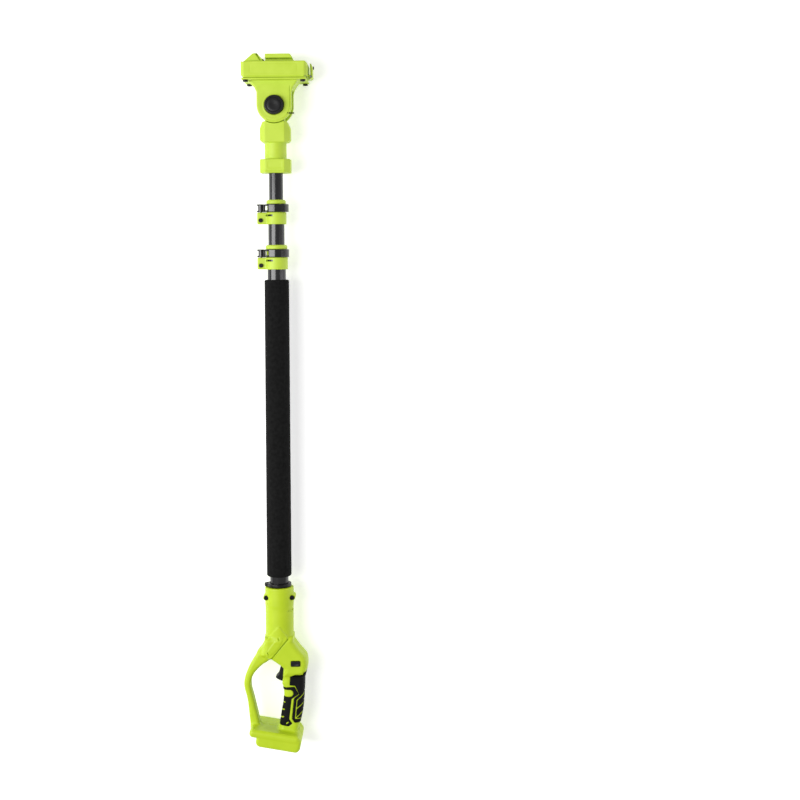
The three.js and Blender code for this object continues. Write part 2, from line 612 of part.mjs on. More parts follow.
/** An outline of straight corners and smooth stretches, each a list of [x, y] points. */
function outlineOf(...stretches) {
  const shape = new THREE.Shape();
  stretches.forEach(({ smooth, points }, i) => {
    const path = points.map(([x, y]) => new THREE.Vector2(x, y));
    if (i === 0) shape.moveTo(path[0].x, path[0].y);
    else shape.lineTo(path[0].x, path[0].y);
    if (smooth) shape.splineThru(path.slice(1));
    else path.slice(1).forEach((point) => shape.lineTo(point.x, point.y));
  });
  return shape;
}
const straight = (...points) => ({ smooth: false, points });
const smooth = (...points) => ({ smooth: true, points });

// The palm side of the handle from the neck down to the foot.
const PALM_SIDE = [
  [NECK_R, -84], [30.5, -95.4], [41.2, -108.7], [43, -122.9], [39.2, -137], [38.2, -161.2],
  [35.6, -193.6], [30, -218],
];
// The finger side of the grip from the foot up to the trigger.
const FINGER_SIDE = [[0, -214], [2.8, -196], [6.4, -176], [6.6, -160], [3.9, -150]];

/** The handle's whole outer form, before it is hollowed and split. */
function handleForm() {
  const neck = turned([[0, -84], [NECK_R, -84], [NECK_R, -1.5], [NECK_R - 1.5, 0], [0, 0]]);
  const earDepth = [-NECK_EAR_HALF_DEPTH, NECK_EAR_HALF_DEPTH];
  const ears = NECK_EARS.map((at) => rod('z', NECK_EAR_R, earDepth, at, 20));
  const body = plate(outlineOf(
    straight([-NECK_R, -76], [NECK_R, -76]),
    smooth(...PALM_SIDE.slice(0, 5)),
    straight([7.9, -137], [7.9, -126], [2.1, -121], [-13.8, -110.4], [-26, -104], [-NECK_R, -88]),
  ), [-BODY_HALF_DEPTH, BODY_HALF_DEPTH], 4);
  const grip = plate(outlineOf(
    straight([5, -100]),
    smooth(...PALM_SIDE.slice(2)),
    straight([26, -232], [-2, -232]),
    smooth(...FINGER_SIDE),
    straight([7.9, -126], [5, -118]),
  ), [-GRIP_HALF_DEPTH, GRIP_HALF_DEPTH], 3);
  const guard = plate(outlineOf(straight(
    [-20, -82], [-38.6, -108.7], [-49.5, -127.3], [-55.4, -143], [-56.4, -156], [-50.7, -178.5],
    [-44.4, -222], [-31, -222], [-39.7, -180], [-45.4, -156], [-43.4, -141], [-35.3, -129.1],
    [-8, -106], [-4, -90],
  )), [-GUARD_HALF_DEPTH, GUARD_HALF_DEPTH], 3);
  const upperTier = plate(roundedRect([-43, 36], [-12, 1], 5),
    [-FOOT_HALF_DEPTH, FOOT_HALF_DEPTH], 4, FOOT);
  const lowerTier = plate(roundedRect([-31, 39], [FOOT_BOTTOM, -4], 4),
    [-FOOT_HALF_DEPTH + 1, FOOT_HALF_DEPTH - 1], 3, FOOT);
  return join(neck, ...ears, body, grip, guard, upperTier, lowerTier);
}

/** Everything cut out of the handle: tube socket, pockets, battery slot and screw holes. */
function handleHollows() {
  const p = SWITCH_POCKET;
  const deep = TRIGGER_HALF_DEPTH + FIT;
  const { at: [bx, by], width, height } = LOCK_BUTTON;
  const f = FOOT_BLOCK;
  const slotEnd = 30;
  const beyond = 60;
  return [
    rod('y', LOWER_TUBE_R + GAP, [-SOCKET_DEPTH - GAP, 1], [0, 0], 32),
    rod('y', 9, [p.top - 6, -SOCKET_DEPTH + 1], [4, 0]),
    box([p.left, p.right], [p.bottom, p.top], [-p.halfDepth, p.halfDepth]),
    box([-4, p.left + 1], [p.bottom + 1, TRIGGER_PIVOT[1] - 1], [-deep, deep]),
    rod('z', 4.8, [-deep, deep], TRIGGER_PIVOT, 20),
    rod('z', TRIGGER_PIN_R + FIT, [-11, 11], TRIGGER_PIVOT, 12),
    box([20, 30], [-226, p.bottom + 1], [-8, 8]),
    box([bx - width / 2 - 2.4, bx + width / 2 + 2.4], [by - height / 2 - 2.4, by + height / 2 + 2.4],
      [p.halfDepth - 1, LOCK_FLANGE_TOP + GAP]),
    box([bx - width / 2 - FIT, bx + width / 2 + FIT], [by - height / 2 - FIT, by + height / 2 + FIT],
      [p.halfDepth, 40]),
    box([-beyond, slotEnd], [SLOT_LIP_TOP, SLOT_ROOF],
      [-RAIL_HALF_DEPTH - 0.5, RAIL_HALF_DEPTH + 0.5], FOOT),
    box([-beyond, slotEnd], [FOOT_BOTTOM - 5, SLOT_LIP_TOP + 1],
      [-RAIL_WEB_HALF_DEPTH - 0.5, RAIL_WEB_HALF_DEPTH + 0.5], FOOT),
    box([f.left, f.right], [SLOT_ROOF - 1, f.top], [-f.halfDepth, f.halfDepth], FOOT),
    ...NECK_EARS.flatMap((at) => [
      rod('z', NECK_SCREW_R + FIT, [-40, 40], at, 12),
      rod('z', NECK_SCREW_HEAD_R + FIT, [NECK_EAR_HALF_DEPTH, 40], at, 20),
      rod('z', NECK_SCREW_HEAD_R + FIT, [-40, -NECK_EAR_HALF_DEPTH], at, 20),
    ]),
    ...HANDLE_SCREWS.map((at) => shellScrewHole(at, HANDLE_SCREW_SEAT)),
  ];
}

function handleShells() {
  const whole = cut(handleForm(), ...handleHollows());
  add('handle_shell_front', half(whole, 1), LIME);
  add('handle_shell_back', half(whole, -1), LIME);
  HANDLE_SCREWS.forEach((at, i) =>
    add(`handle_screw_${i + 1}`, shellScrew(at, HANDLE_SCREW_SEAT), BLACK_STEEL));
  NECK_EARS.forEach((at, i) => {
    const seat = NECK_EAR_HALF_DEPTH + GAP;
    add(`neck_screw_${['left', 'right'][i]}`, join(
      rod('z', NECK_SCREW_HEAD_R, [seat, seat + 2], at, 20),
      rod('z', NECK_SCREW_R, [-seat - 2, seat + 1], at, 12),
      rod('z', 3.2, [-seat - 2, -seat], at, 6),
    ), BLACK_STEEL);
  });
}

/** Rubber grip pads that lie on both flat faces of the grip, on the palm and finger sides. */
function gripPads() {
  const palm = [
    [17.3, -140], [26.9, -138.5], [35.6, -139.5], [35, -163], [32, -197], [29.5, -212],
    [23.7, -212], [19.6, -205], [22.8, -175], [31, -166.3], [24.8, -152.7], [17.3, -151.9],
  ];
  const fingers = [
    [9.8, -156.5], [23, -155.6], [28.6, -165.6], [18.8, -173.5], [14.9, -204.8],
    [18, -212], [14, -215.9], [3.4, -212], [9.6, -176],
  ];
  const seat = GRIP_HALF_DEPTH + GAP;
  const depths = { front: [seat, seat + PAD_THICKNESS], back: [-seat - PAD_THICKNESS, -seat] };
  const screwHoles = HANDLE_SCREWS.map((at) => rod('z', SHELL_SCREW_HEAD_R + 1, [-40, 0], at, 16));
  for (const [side, depth] of Object.entries(depths)) {
    add(`palm_pad_${side}`, cut(plate(palm, depth), ...screwHoles), BLACK_RUBBER);
    add(`finger_pad_${side}`, cut(plate(fingers, depth), ...screwHoles), BLACK_RUBBER);
  }
}

/** Trigger, its pin, the lock button and the switch behind them. */
function controls() {
  const [x, y] = TRIGGER_PIVOT;
  const blade = [
    [x - 4.5, y - 3], [x + 3, y - 3], [x + 3, y - 28], [3.1, y - 29.4],
    [-6.5, y - 24.4], [-6.2, y - 21], [-0.4, y - 11.5],
  ];
  add('trigger', cut(
    join(
      rod('z', 4, [-TRIGGER_HALF_DEPTH, TRIGGER_HALF_DEPTH], TRIGGER_PIVOT, 20),
      plate(blade, [-TRIGGER_HALF_DEPTH, TRIGGER_HALF_DEPTH], 0.8),
    ),
    rod('z', TRIGGER_PIN_R + FIT, [-20, 20], TRIGGER_PIVOT, 12),
  ), BLACK_PLASTIC);
  add('trigger_pin', rod('z', TRIGGER_PIN_R, [-10.7, 10.7], TRIGGER_PIVOT, 12), STEEL);
  const p = SWITCH_POCKET;
  const depth = p.halfDepth - GAP;
  add('switch_body', box([SWITCH_LEFT, p.right - GAP], [p.bottom + GAP, p.top - 6], [-depth, depth]),
    BLACK_PLASTIC);
  const { at: [bx, by], width, height, face, flange } = LOCK_BUTTON;
  add('lock_button', join(
    plate(roundedRect([bx - width / 2, bx + width / 2], [by - height / 2, by + height / 2], 1.5),
      [LOCK_FLANGE_TOP - flange, face]),
    box([bx - width / 2 - 2, bx + width / 2 + 2], [by - height / 2 - 2, by + height / 2 + 2],
      [LOCK_FLANGE_TOP - flange, LOCK_FLANGE_TOP]),
  ), BLACK_PLASTIC);
}

/** Terminal block in the foot's roof and the three blades that stand down into the slot. */
function footTerminals() {
  const f = FOOT_BLOCK;
  add('battery_terminal_block', box([f.left + GAP, f.right - GAP], [SLOT_ROOF, f.top - GAP],
    [-f.halfDepth + GAP, f.halfDepth - GAP], FOOT), BLACK_PLASTIC);
  BLADE_ROWS.forEach((z, i) => {
    const x = f.left + 4;
    add(`battery_blade_${i + 1}`, box(
      [x, x + BLADE_LENGTH], [SLOT_ROOF - 7, SLOT_ROOF - GAP],
      [z - BLADE_THICKNESS / 2, z + BLADE_THICKNESS / 2], FOOT,
    ), BRASS);
  });
}

// ---------------------------------------------------------------- assembly
pole();
strapRing();
clamps();
coupler();
yoke();
pivot();
headCase();
headTerminals();
release();
handleShells();
gripPads();
controls();
footTerminals();

// The origin goes to the bottom centre of the whole object's box.
const bounds = new THREE.Box3().setFromObject(part);
const centre = bounds.getCenter(new THREE.Vector3());
part.position.set(-centre.x, -centre.y, -bounds.min.z);

export default part;
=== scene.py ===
"""Looks for a telescoping extension pole that carries a small battery pruning saw.

Moulded pieces are signed distance fields: a function gives each point's distance to the surface,
negative inside, and moulded() turns the field's zero surface into a mesh. Round pieces are profiles
turned about an axis. Fields work in millimetres from a local origin that the frame gives, with the
pole's axis along y and the front face towards +z.
"""
import math
import bmesh
import bpy
import numpy as np
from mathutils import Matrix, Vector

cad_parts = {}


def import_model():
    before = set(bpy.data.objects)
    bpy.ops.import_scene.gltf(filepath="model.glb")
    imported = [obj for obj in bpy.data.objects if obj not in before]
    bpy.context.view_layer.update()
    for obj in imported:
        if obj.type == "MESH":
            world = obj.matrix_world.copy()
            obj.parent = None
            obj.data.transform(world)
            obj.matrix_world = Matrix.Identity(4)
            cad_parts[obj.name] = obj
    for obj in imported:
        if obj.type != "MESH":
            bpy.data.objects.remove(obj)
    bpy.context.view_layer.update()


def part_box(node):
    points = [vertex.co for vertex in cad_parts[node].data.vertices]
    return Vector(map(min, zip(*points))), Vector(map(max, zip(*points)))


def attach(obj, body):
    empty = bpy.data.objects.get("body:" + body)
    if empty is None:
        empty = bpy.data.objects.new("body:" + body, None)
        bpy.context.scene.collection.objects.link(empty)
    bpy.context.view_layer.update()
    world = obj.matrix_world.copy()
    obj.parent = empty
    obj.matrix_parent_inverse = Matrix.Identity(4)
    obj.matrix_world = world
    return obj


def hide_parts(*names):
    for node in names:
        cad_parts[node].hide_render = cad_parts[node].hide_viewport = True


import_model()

MM = 0.001


def corner_mm(node, which):
    """The lowest (0) or highest (1) corner of a CAD node, in millimetres."""
    return np.array(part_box(node)[which][:]) / MM


def middle_mm(node):
    """The middle of a CAD node's box, in millimetres."""
    return (corner_mm(node, 0) + corner_mm(node, 1)) / 2


AXIS = middle_mm("lower_tube")
MOUTH = np.array([AXIS[0], corner_mm("handle_shell_front", 1)[1], AXIS[2]])


# ---------------------------------------------------------------- camera
def point_camera():
    """Looks straight down at the pole from 2.2 m, leaning a little, with the view shifted along
    it."""
    height, lean = 2200.0, 0.00856
    # The width of the view at the pole's axis, in millimetres, and of the film that takes it.
    view_width, film_width = 1264.0, 36
    # Where the handle's mouth lies in the view, in millimetres from the lens axis.
    right_of_mouth, above_mouth = 190.5, 530.9
    camera = bpy.data.objects.new("camera", bpy.data.cameras.new("camera"))
    bpy.context.scene.collection.objects.link(camera)
    x = MOUTH[0] + right_of_mouth + lean * above_mouth
    y = MOUTH[1] - lean * right_of_mouth + above_mouth
    camera.location = (x * MM, y * MM, (AXIS[2] + height) * MM)
    camera.rotation_euler = (0, 0, -lean)
    camera.data.sensor_width = film_width
    camera.data.lens = film_width * height / view_width
    camera.data.shift_y = -0.1875
    camera.data.clip_end = 20
    bpy.context.scene.camera = camera


point_camera()
bpy.context.scene.view_settings.view_transform = "Standard"


# ---------------------------------------------------------------- distance fields
def least(a, b, blend=0.0):
    """The nearer of two surfaces, run together over a fillet of about the blend's size."""
    if not blend:
        return np.minimum(a, b)
    h = np.maximum(blend - np.abs(a - b), 0) / blend
    return np.minimum(a, b) - h * h * blend / 4


def most(a, b, blend=0.0):
    """What two solids share, its edge rounded over about the blend's size."""
    return -least(-a, -b, blend)


def polygon(x, y, points):
    """Distance to the nearest side, negative where a ray from the point crosses an odd number of
    sides."""
    best, sign = np.inf, 1.0
    for (ax, ay), (bx, by) in zip(points, np.roll(points, -1, axis=0)):
        ex, ey = bx - ax, by - ay
        wx, wy = x - ax, y - ay
        t = np.clip((wx * ex + wy * ey) / (ex * ex + ey * ey), 0, 1)
        best = np.minimum(best, (wx - ex * t) ** 2 + (wy - ey * t) ** 2)
        up, down, left = y >= ay, y < by, ex * wy > ey * wx
        sign = np.where((up & down & left) | (~up & ~down & ~left), -sign, sign)
    return sign * np.sqrt(best)


def curve(points, steps=5, closed=True):
    """A Catmull-Rom curve through the points.

    Between p1 and p2 it is a cubic whose end slopes are half of p2-p0 and half of p3-p1.
    """
    p = np.asarray(points, float)
    p = np.vstack([p[-1:], p, p[:2]]) if closed else np.vstack([p[:1], p, p[-1:]])
    t = np.linspace(0, 1, steps, endpoint=False)[None, :, None]
    a, b, c, d = (p[i:len(p) - 3 + i, None, :] for i in range(4))
    line = 0.5 * (2 * b + (c - a) * t + (2 * a - 5 * b + 4 * c - d) * t**2
                  + (3 * b - a - 3 * c + d) * t**3)
    line = line.reshape(-1, 2)
    return line if closed else np.vstack([line, p[-2:-1]])


def slab(flat, z, half, r):
    """A flat outline's distance given a thickness of twice half, with every edge rounded to r."""
    across, out = flat + r, np.abs(z) - half + r
    return np.minimum(np.maximum(across, out), 0) + np.hypot(np.maximum(across, 0),
                                                             np.maximum(out, 0)) - r


def block(x, y, z, low, high, r):
    """A box between two corners with its edges rounded to r."""
    q = [np.abs(v - (a + b) / 2) - (b - a) / 2 + r for v, a, b in zip((x, y, z), low, high)]
    outside = np.sqrt(sum(np.maximum(v, 0) ** 2 for v in q))
    return outside + np.minimum(np.maximum(np.maximum(q[0], q[1]), q[2]), 0) - r


def drum(a, b, along, radius, low, high, r=0.5):
    """A round bar: a and b run across it and along runs down it, from low to high."""
    return slab(np.hypot(a, b) - radius, along - (low + high) / 2, (high - low) / 2, r)


def stroke(x, y, start, end, width):
    """Distance to a straight line with round ends."""
    (ax, ay), (bx, by) = start, end
    ex, ey = bx - ax, by - ay
    t = np.clip(((x - ax) * ex + (y - ay) * ey) / (ex * ex + ey * ey), 0, 1)
    return np.hypot(x - ax - ex * t, y - ay - ey * t) - width / 2


def ramp(v, start, end):
    """Zero before start and one after end, with a smooth cubic between."""
    t = np.clip((v - start) / (end - start), 0, 1)
    return t * t * (3 - 2 * t)


def engrave(surface, flat, depth, round_off=0.4):
    """Cuts a flat shape into a surface, to one depth everywhere under its skin."""
    return most(surface, -most(flat, -(surface + depth), 0), round_off)


def between(surface, v, low, high):
    """Trims a shape to a span. A blend swells a face that its two shapes share, and this takes it
    off."""
    return most(surface, np.maximum(low - v, v - high), 0.25)


def emboss(surface, flat, height, round_off=0.8):
    """Raises a flat shape from a surface by one height."""
    return least(surface, most(surface - height, flat, round_off), round_off)


def only(keep, away=30.0):
    """Added to a distance: nothing where it is kept, and enough to put it out of reach
    elsewhere."""
    return np.where(keep, 0.0, away)


def nearest(solids):
    """The least of several distances."""
    total = solids[0]
    for solid in solids[1:]:
        total = np.minimum(total, solid)
    return total


# ---------------------------------------------------------------- meshes
def new_piece(name, points_mm, faces, origin):
    """A smooth mesh object in the frame's metres, from points in local millimetres."""
    name = name.replace(" ", "-")
    mesh = bpy.data.meshes.new(name)
    verts = (np.asarray(points_mm) + origin) * MM
    faces = np.asarray(faces)
    mesh.vertices.add(len(verts))
    mesh.vertices.foreach_set("co", verts.astype(np.float32).ravel())
    mesh.loops.add(faces.size)
    mesh.loops.foreach_set("vertex_index", faces.astype(np.int32).ravel())
    mesh.polygons.add(len(faces))
    mesh.polygons.foreach_set("loop_start",
                              np.arange(0, faces.size, faces.shape[1], dtype=np.int32))
    mesh.polygons.foreach_set("use_smooth", np.ones(len(faces), dtype=bool))
    mesh.update(calc_edges=True)
    piece = bpy.data.objects.new(name, mesh)
    bpy.context.scene.collection.objects.link(piece)
    return piece


def zero_surface(field, low, high, step):
    """Points and four-sided faces of a field's zero surface.

    Each grid cell that the surface crosses gets one point, the mean of the crossings on its edges.
    Each grid edge with a crossing joins the points of its four cells. The points then slide along
    the field's slope onto the surface, by the field's value over the slope's size, at most half a
    cell.
    """
    axes = [np.arange(a, b + step, step) for a, b in zip(low, high)]
    x, y, z = axes[0][:, None, None], axes[1][None, :, None], axes[2][None, None, :]
    f = np.broadcast_to(field(x, y, z), tuple(len(a) for a in axes)).astype(np.float32)
    inside = f < 0
    cells = tuple(n - 1 for n in f.shape)
    total, count = np.zeros(cells + (3,), np.float32), np.zeros(cells, np.uint8)
    crossings = []
    for axis in range(3):
        lo = [slice(None)] * 3
        hi = [slice(None)] * 3
        lo[axis], hi[axis] = slice(None, -1), slice(1, None)
        f0, f1 = f[tuple(lo)], f[tuple(hi)]
        crosses = inside[tuple(lo)] != inside[tuple(hi)]
        at = np.argwhere(crosses)
        v0, v1 = f0[crosses], f1[crosses]
        crossed = at.astype(np.float32)
        crossed[:, axis] += v0 / (v0 - v1)
        b, c = [k for k in range(3) if k != axis]
        for shift_b in (0, 1):
            for shift_c in (0, 1):
                cell = at.copy()
                cell[:, b] -= shift_b
                cell[:, c] -= shift_c
                good = ((cell >= 0) & (cell < cells)).all(1)
                index = tuple(cell[good].T)
                for k in range(3):
                    np.add.at(total[..., k], index, crossed[good, k])
                np.add.at(count, index, 1)
        crossings.append((axis, b, c, at, v0 < 0))
    number = np.full(cells, -1, np.int64)
    active = count > 0
    number[active] = np.arange(active.sum())
    points = total[active] / count[active][:, None]
    points = points * step + np.array(low)
    faces = []
    for axis, b, c, at, starts_inside in crossings:
        inner = (at[:, b] > 0) & (at[:, c] > 0) & (at[:, b] < cells[b]) & (at[:, c] < cells[c])
        at, starts_inside = at[inner], starts_inside[inner]
        corners = []
        for shift_b, shift_c in ((1, 1), (0, 1), (0, 0), (1, 0)):
            cell = at.copy()
            cell[:, b] -= shift_b
            cell[:, c] -= shift_c
            corners.append(number[tuple(cell.T)])
        quad = np.stack(corners, 1)
        turned_over = starts_inside if axis == 1 else ~starts_inside
        quad[turned_over] = quad[turned_over][:, ::-1]
        faces.append(quad)
    return settle(field, points.astype(np.float64), step), np.vstack(faces)


def settle(field, points, step):
    """Slides points onto the zero surface along its slope."""
    nudge = step * 0.25
    for _ in range(2):
        x, y, z = points.T
        value = field(x, y, z)
        slope = np.stack([
            field(x + nudge, y, z) - field(x - nudge, y, z),
            field(x, y + nudge, z) - field(x, y - nudge, z),
            field(x, y, z + nudge) - field(x, y, z - nudge),
        ], 1) / (2 * nudge)
        size = np.maximum((slope**2).sum(1), 0.25)
        points = points - slope * np.clip(value / size, -step / 2, step / 2)[:, None]
    return points


def moulded(name, field, low, high, step, origin=MOUTH):
    """A piece whose shape is a distance field, looked for between two corners."""
    points, faces = zero_surface(field, low, high, step * (1))
    return new_piece(name, points, faces, origin)


def turned(name, profile, axis="y", origin=MOUTH, around=96):
    """A profile of (radius, place) points turned about an axis; a zero radius closes the piece."""
    profile = np.asarray(profile, float)
    turn = np.linspace(0, 2 * math.pi, around, endpoint=False)
    a = profile[:, 0, None] * np.cos(turn)
    b = profile[:, 0, None] * np.sin(turn)
    c = np.repeat(profile[:, 1, None], around, 1)
    order = {"x": (c, a, b), "y": (b, c, a), "z": (a, b, c)}[axis]
    points = np.stack(order, -1).reshape(-1, 3)
    i = np.arange(len(profile) - 1)[:, None] * around
    j = np.arange(around)[None, :]
    k = (j + 1) % around
    faces = np.stack([i + j, i + k, i + around + k, i + around + j], -1).reshape(-1, 4)
    piece = new_piece(name, points, faces, origin)
    weld(piece)
    return piece


def weld(piece):
    """Merges doubled points, so that seams and poles close, and turns the faces outward."""
    bm = bmesh.new()
    bm.from_mesh(piece.data)
    bmesh.ops.remove_doubles(bm, verts=bm.verts, dist=2e-6)
    bmesh.ops.recalc_face_normals(bm, faces=bm.faces)
    bm.to_mesh(piece.data)
    bm.free()
    piece.data.set_sharp_from_angle(angle=math.radians(40))


def place(piece, body, material, slot, *nodes):
    """Gives a piece its finish and body, and hides the CAD nodes that it stands for."""
    piece.data.materials.clear()
    piece.data.materials.append(material)
    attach(piece, body)
    if nodes:
        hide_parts(*nodes)


# ---------------------------------------------------------------- materials
def linear(srgb):
    """An sRGB colour from 0 to 255 as the linear colour that the shader takes."""
    v = np.array(srgb, float) / 255
    v = np.where(v <= 0.04045, v / 12.92, ((v + 0.055) / 1.055) ** 2.4)
    return (*v, 1.0)


# Where most of a noise pattern's values lie.
PATTERN_SPAN = 0.3, 0.7


def mixed(nodes, links, pattern, low, high):
    """A colour that runs from low to high as a pattern goes over its span."""
    tones = nodes.new("ShaderNodeValToRGB")
    first, last = tones.color_ramp.elements
    first.position, last.position = PATTERN_SPAN
    first.color, last.color = low, high
    links.new(pattern, tones.inputs["Fac"])
    return tones.outputs["Color"]


def grain(nodes, links, coordinates, kind, size_mm, stretch=(1, 1, 1)):
    """A noise or cell pattern of about the given size in object space."""
    mapping = nodes.new("ShaderNodeMapping")
    mapping.inputs["Scale"].default_value = stretch
    links.new(coordinates, mapping.inputs["Vector"])
    texture = nodes.new("ShaderNodeTexVoronoi" if kind == "cells" else "ShaderNodeTexNoise")
    texture.inputs["Scale"].default_value = 1000 / size_mm
    if kind != "cells":
        texture.inputs["Detail"].default_value = 3
    links.new(mapping.outputs["Vector"], texture.inputs["Vector"])
    return texture.outputs["Distance" if kind == "cells" else "Fac"]


def finish(name, low, high, rough, metal=0.0, patch=18, bump=(0.35, 0.08), kind="noise",
           stretch=(1, 1, 1), coat=0.0, specular=0.5):
    """A surface with slow drifts of colour, uneven roughness and a fine grain.

    rough is the lowest and highest roughness, patch the drifts' size in mm, and bump the grain's
    size in mm and its strength.
    """
    material = bpy.data.materials.new(name)
    material.use_nodes = True
    nodes, links = material.node_tree.nodes, material.node_tree.links
    shader = nodes["Principled BSDF"]
    coordinates = nodes.new("ShaderNodeTexCoord").outputs["Object"]
    drift = grain(nodes, links, coordinates, "noise", patch, stretch)
    links.new(mixed(nodes, links, drift, linear(low), linear(high)), shader.inputs["Base Color"])
    wear = grain(nodes, links, coordinates, "noise", patch / 4, stretch)
    spread = nodes.new("ShaderNodeMapRange")
    spread.inputs["From Min"].default_value, spread.inputs["From Max"].default_value = PATTERN_SPAN
    spread.inputs["To Min"].default_value, spread.inputs["To Max"].default_value = rough
    links.new(wear, spread.inputs["Value"])
    links.new(spread.outputs["Result"], shader.inputs["Roughness"])
    relief = nodes.new("ShaderNodeBump")
    relief.inputs["Strength"].default_value = bump[1]
    relief.inputs["Distance"].default_value = bump[0] * MM
    links.new(grain(nodes, links, coordinates, kind, bump[0], stretch), relief.inputs["Height"])
    links.new(relief.outputs["Normal"], shader.inputs["Normal"])
    shader.inputs["Metallic"].default_value = metal
    shader.inputs["Coat Weight"].default_value = coat
    shader.inputs["Coat Roughness"].default_value = 0.15
    shader.inputs["Specular IOR Level"].default_value = specular
    return material


LIME = finish("lime plastic", (176, 202, 20), (183, 207, 30), (0.4, 0.52), bump=(0.5, 0.12),
              specular=0.4)
PALE_LIME = finish("pale lime plastic", (184, 210, 56), (191, 216, 66), (0.4, 0.52),
                   bump=(0.5, 0.12), specular=0.4)
BLACK = finish("black plastic", (10, 10, 11), (17, 17, 18), (0.28, 0.4), bump=(0.4, 0.06),
               specular=0.3)
GLOSS = finish("glossy black plastic", (9, 9, 10), (14, 14, 15), (0.12, 0.2), bump=(0.6, 0.02),
               coat=0.3, specular=0.35)
RUBBER = finish("black rubber", (9, 9, 10), (16, 16, 17), (0.55, 0.7), bump=(0.7, 0.3),
                kind="cells", specular=0.12)
FOAM = finish("black foam", (14, 14, 14), (25, 25, 25), (0.85, 1.0), patch=5, bump=(0.9, 0.45),
              kind="cells", specular=0.12)
TUBE = finish("graphite tube", (16, 16, 18), (24, 24, 26), (0.17, 0.24), patch=9, bump=(0.5, 0.03),
              stretch=(1, 0.02, 1), specular=0.5)
STEEL = finish("steel", (148, 150, 154), (170, 172, 175), (0.28, 0.4), metal=1.0, patch=4,
               bump=(0.4, 0.05))
BLACK_STEEL = finish("black steel", (24, 24, 26), (36, 36, 38), (0.32, 0.45), metal=0.8, patch=3)
BRASS = finish("brass", (182, 142, 62), (200, 160, 80), (0.25, 0.38), metal=1.0, patch=4)


# ---------------------------------------------------------------- sizes taken from the frame
def local(node):
    """A CAD node's corners in millimetres from the handle's mouth."""
    return corner_mm(node, 0) - MOUTH, corner_mm(node, 1) - MOUTH


def radius(node):
    """Half of a round CAD node's depth, in millimetres."""
    low, high = local(node)
    return (high[2] - low[2]) / 2


GAP = 0.3
TUBE_WALL = 1.2
TUBE_R = {name: radius(f"{name}_tube") for name in ("lower", "mid", "upper")}
PIVOT_Y = (middle_mm("tilt_button") - MOUTH)[1]
COUPLER_Y = local("coupler_front")[0][1]


# ---------------------------------------------------------------- tubes and foam
def tube_profile(outer, start, end, wall=TUBE_WALL, edge=0.35):
    """Down the bore and up the outside, with the two ends' edges eased."""
    inner = outer - wall
    return [
        (inner, start + edge), (inner + edge, start), (outer - edge, start), (outer, start + edge),
        (outer, end - edge), (outer - edge, end), (inner + edge, end), (inner, end - edge),
        (inner, start + edge),
    ]


def tubes():
    """The three telescoping tubes."""
    for name, body in (("lower", "handle"), ("mid", "mid_stage"), ("upper", "upper_stage")):
        low, high = local(f"{name}_tube")
        piece = turned(f"{name} tube", tube_profile(TUBE_R[name], low[1], high[1]))
        place(piece, body, TUBE, "graphite_tube", f"{name}_tube")


def foam():
    """The foam grip: a sleeve with soft ends, its surface swelling and sinking by a tenth of a
    millimetre."""
    low, high = local("foam_sleeve")
    outer, inner, edge = high[2], TUBE_R["lower"] + GAP, 2.6
    along = np.linspace(low[1] + edge, high[1] - edge, 150)
    turn = np.linspace(0, math.pi / 2, 7)
    start = np.stack([outer - edge + edge * np.sin(turn), low[1] + edge - edge * np.cos(turn)], 1)
    side = np.stack([outer - 0.06 * (1 + np.sin(along * 0.21) * np.cos(along * 0.057)), along], 1)
    end = np.stack([outer - edge + edge * np.cos(turn), high[1] - edge + edge * np.sin(turn)], 1)
    profile = np.vstack([[(inner, low[1])], start, side, end, [(inner, high[1]), (inner, low[1])]])
    piece = turned("foam sleeve", profile)
    place(piece, "handle", FOAM, "foam", "foam_sleeve")


def strap_ring():
    """The loose strap ring: a flat ring with a rounded eye lobe on the left."""
    low, high = local("strap_ring")
    bore = TUBE_R["lower"] + GAP
    outer = high[2]
    eye_x = -outer + 0.5

    def shape(x, y, z):
        ring = drum(x, z, y, outer, low[1], high[1], 1.2)
        lobe = drum(x - eye_x, z, y, 5.0, low[1], high[1], 1.2)
        whole = between(least(ring, lobe, 2.5), y, low[1], high[1])
        hole = most(np.hypot(x - eye_x, z) - 2.5, bore + 1 - np.hypot(x, z))
        return most(most(whole, bore - np.hypot(x, z), 0.4), -hole, 0.5)

    piece = moulded("strap ring", shape, (-26, low[1] - 2, -21), (21, high[1] + 2, 21), 0.7)
    place(piece, "strap_ring", BLACK, "black_plastic", "strap_ring")


# ---------------------------------------------------------------- clamp collars and levers
PIN_X, PIN_Z = -23.8, 3.0
CLAMP_BOLT_RISE = 6.2
COLLAR_RING, COLLAR_TOP, COLLAR_LIP = 18.8, 6.5, 4.0
LEVER_R = 19.9


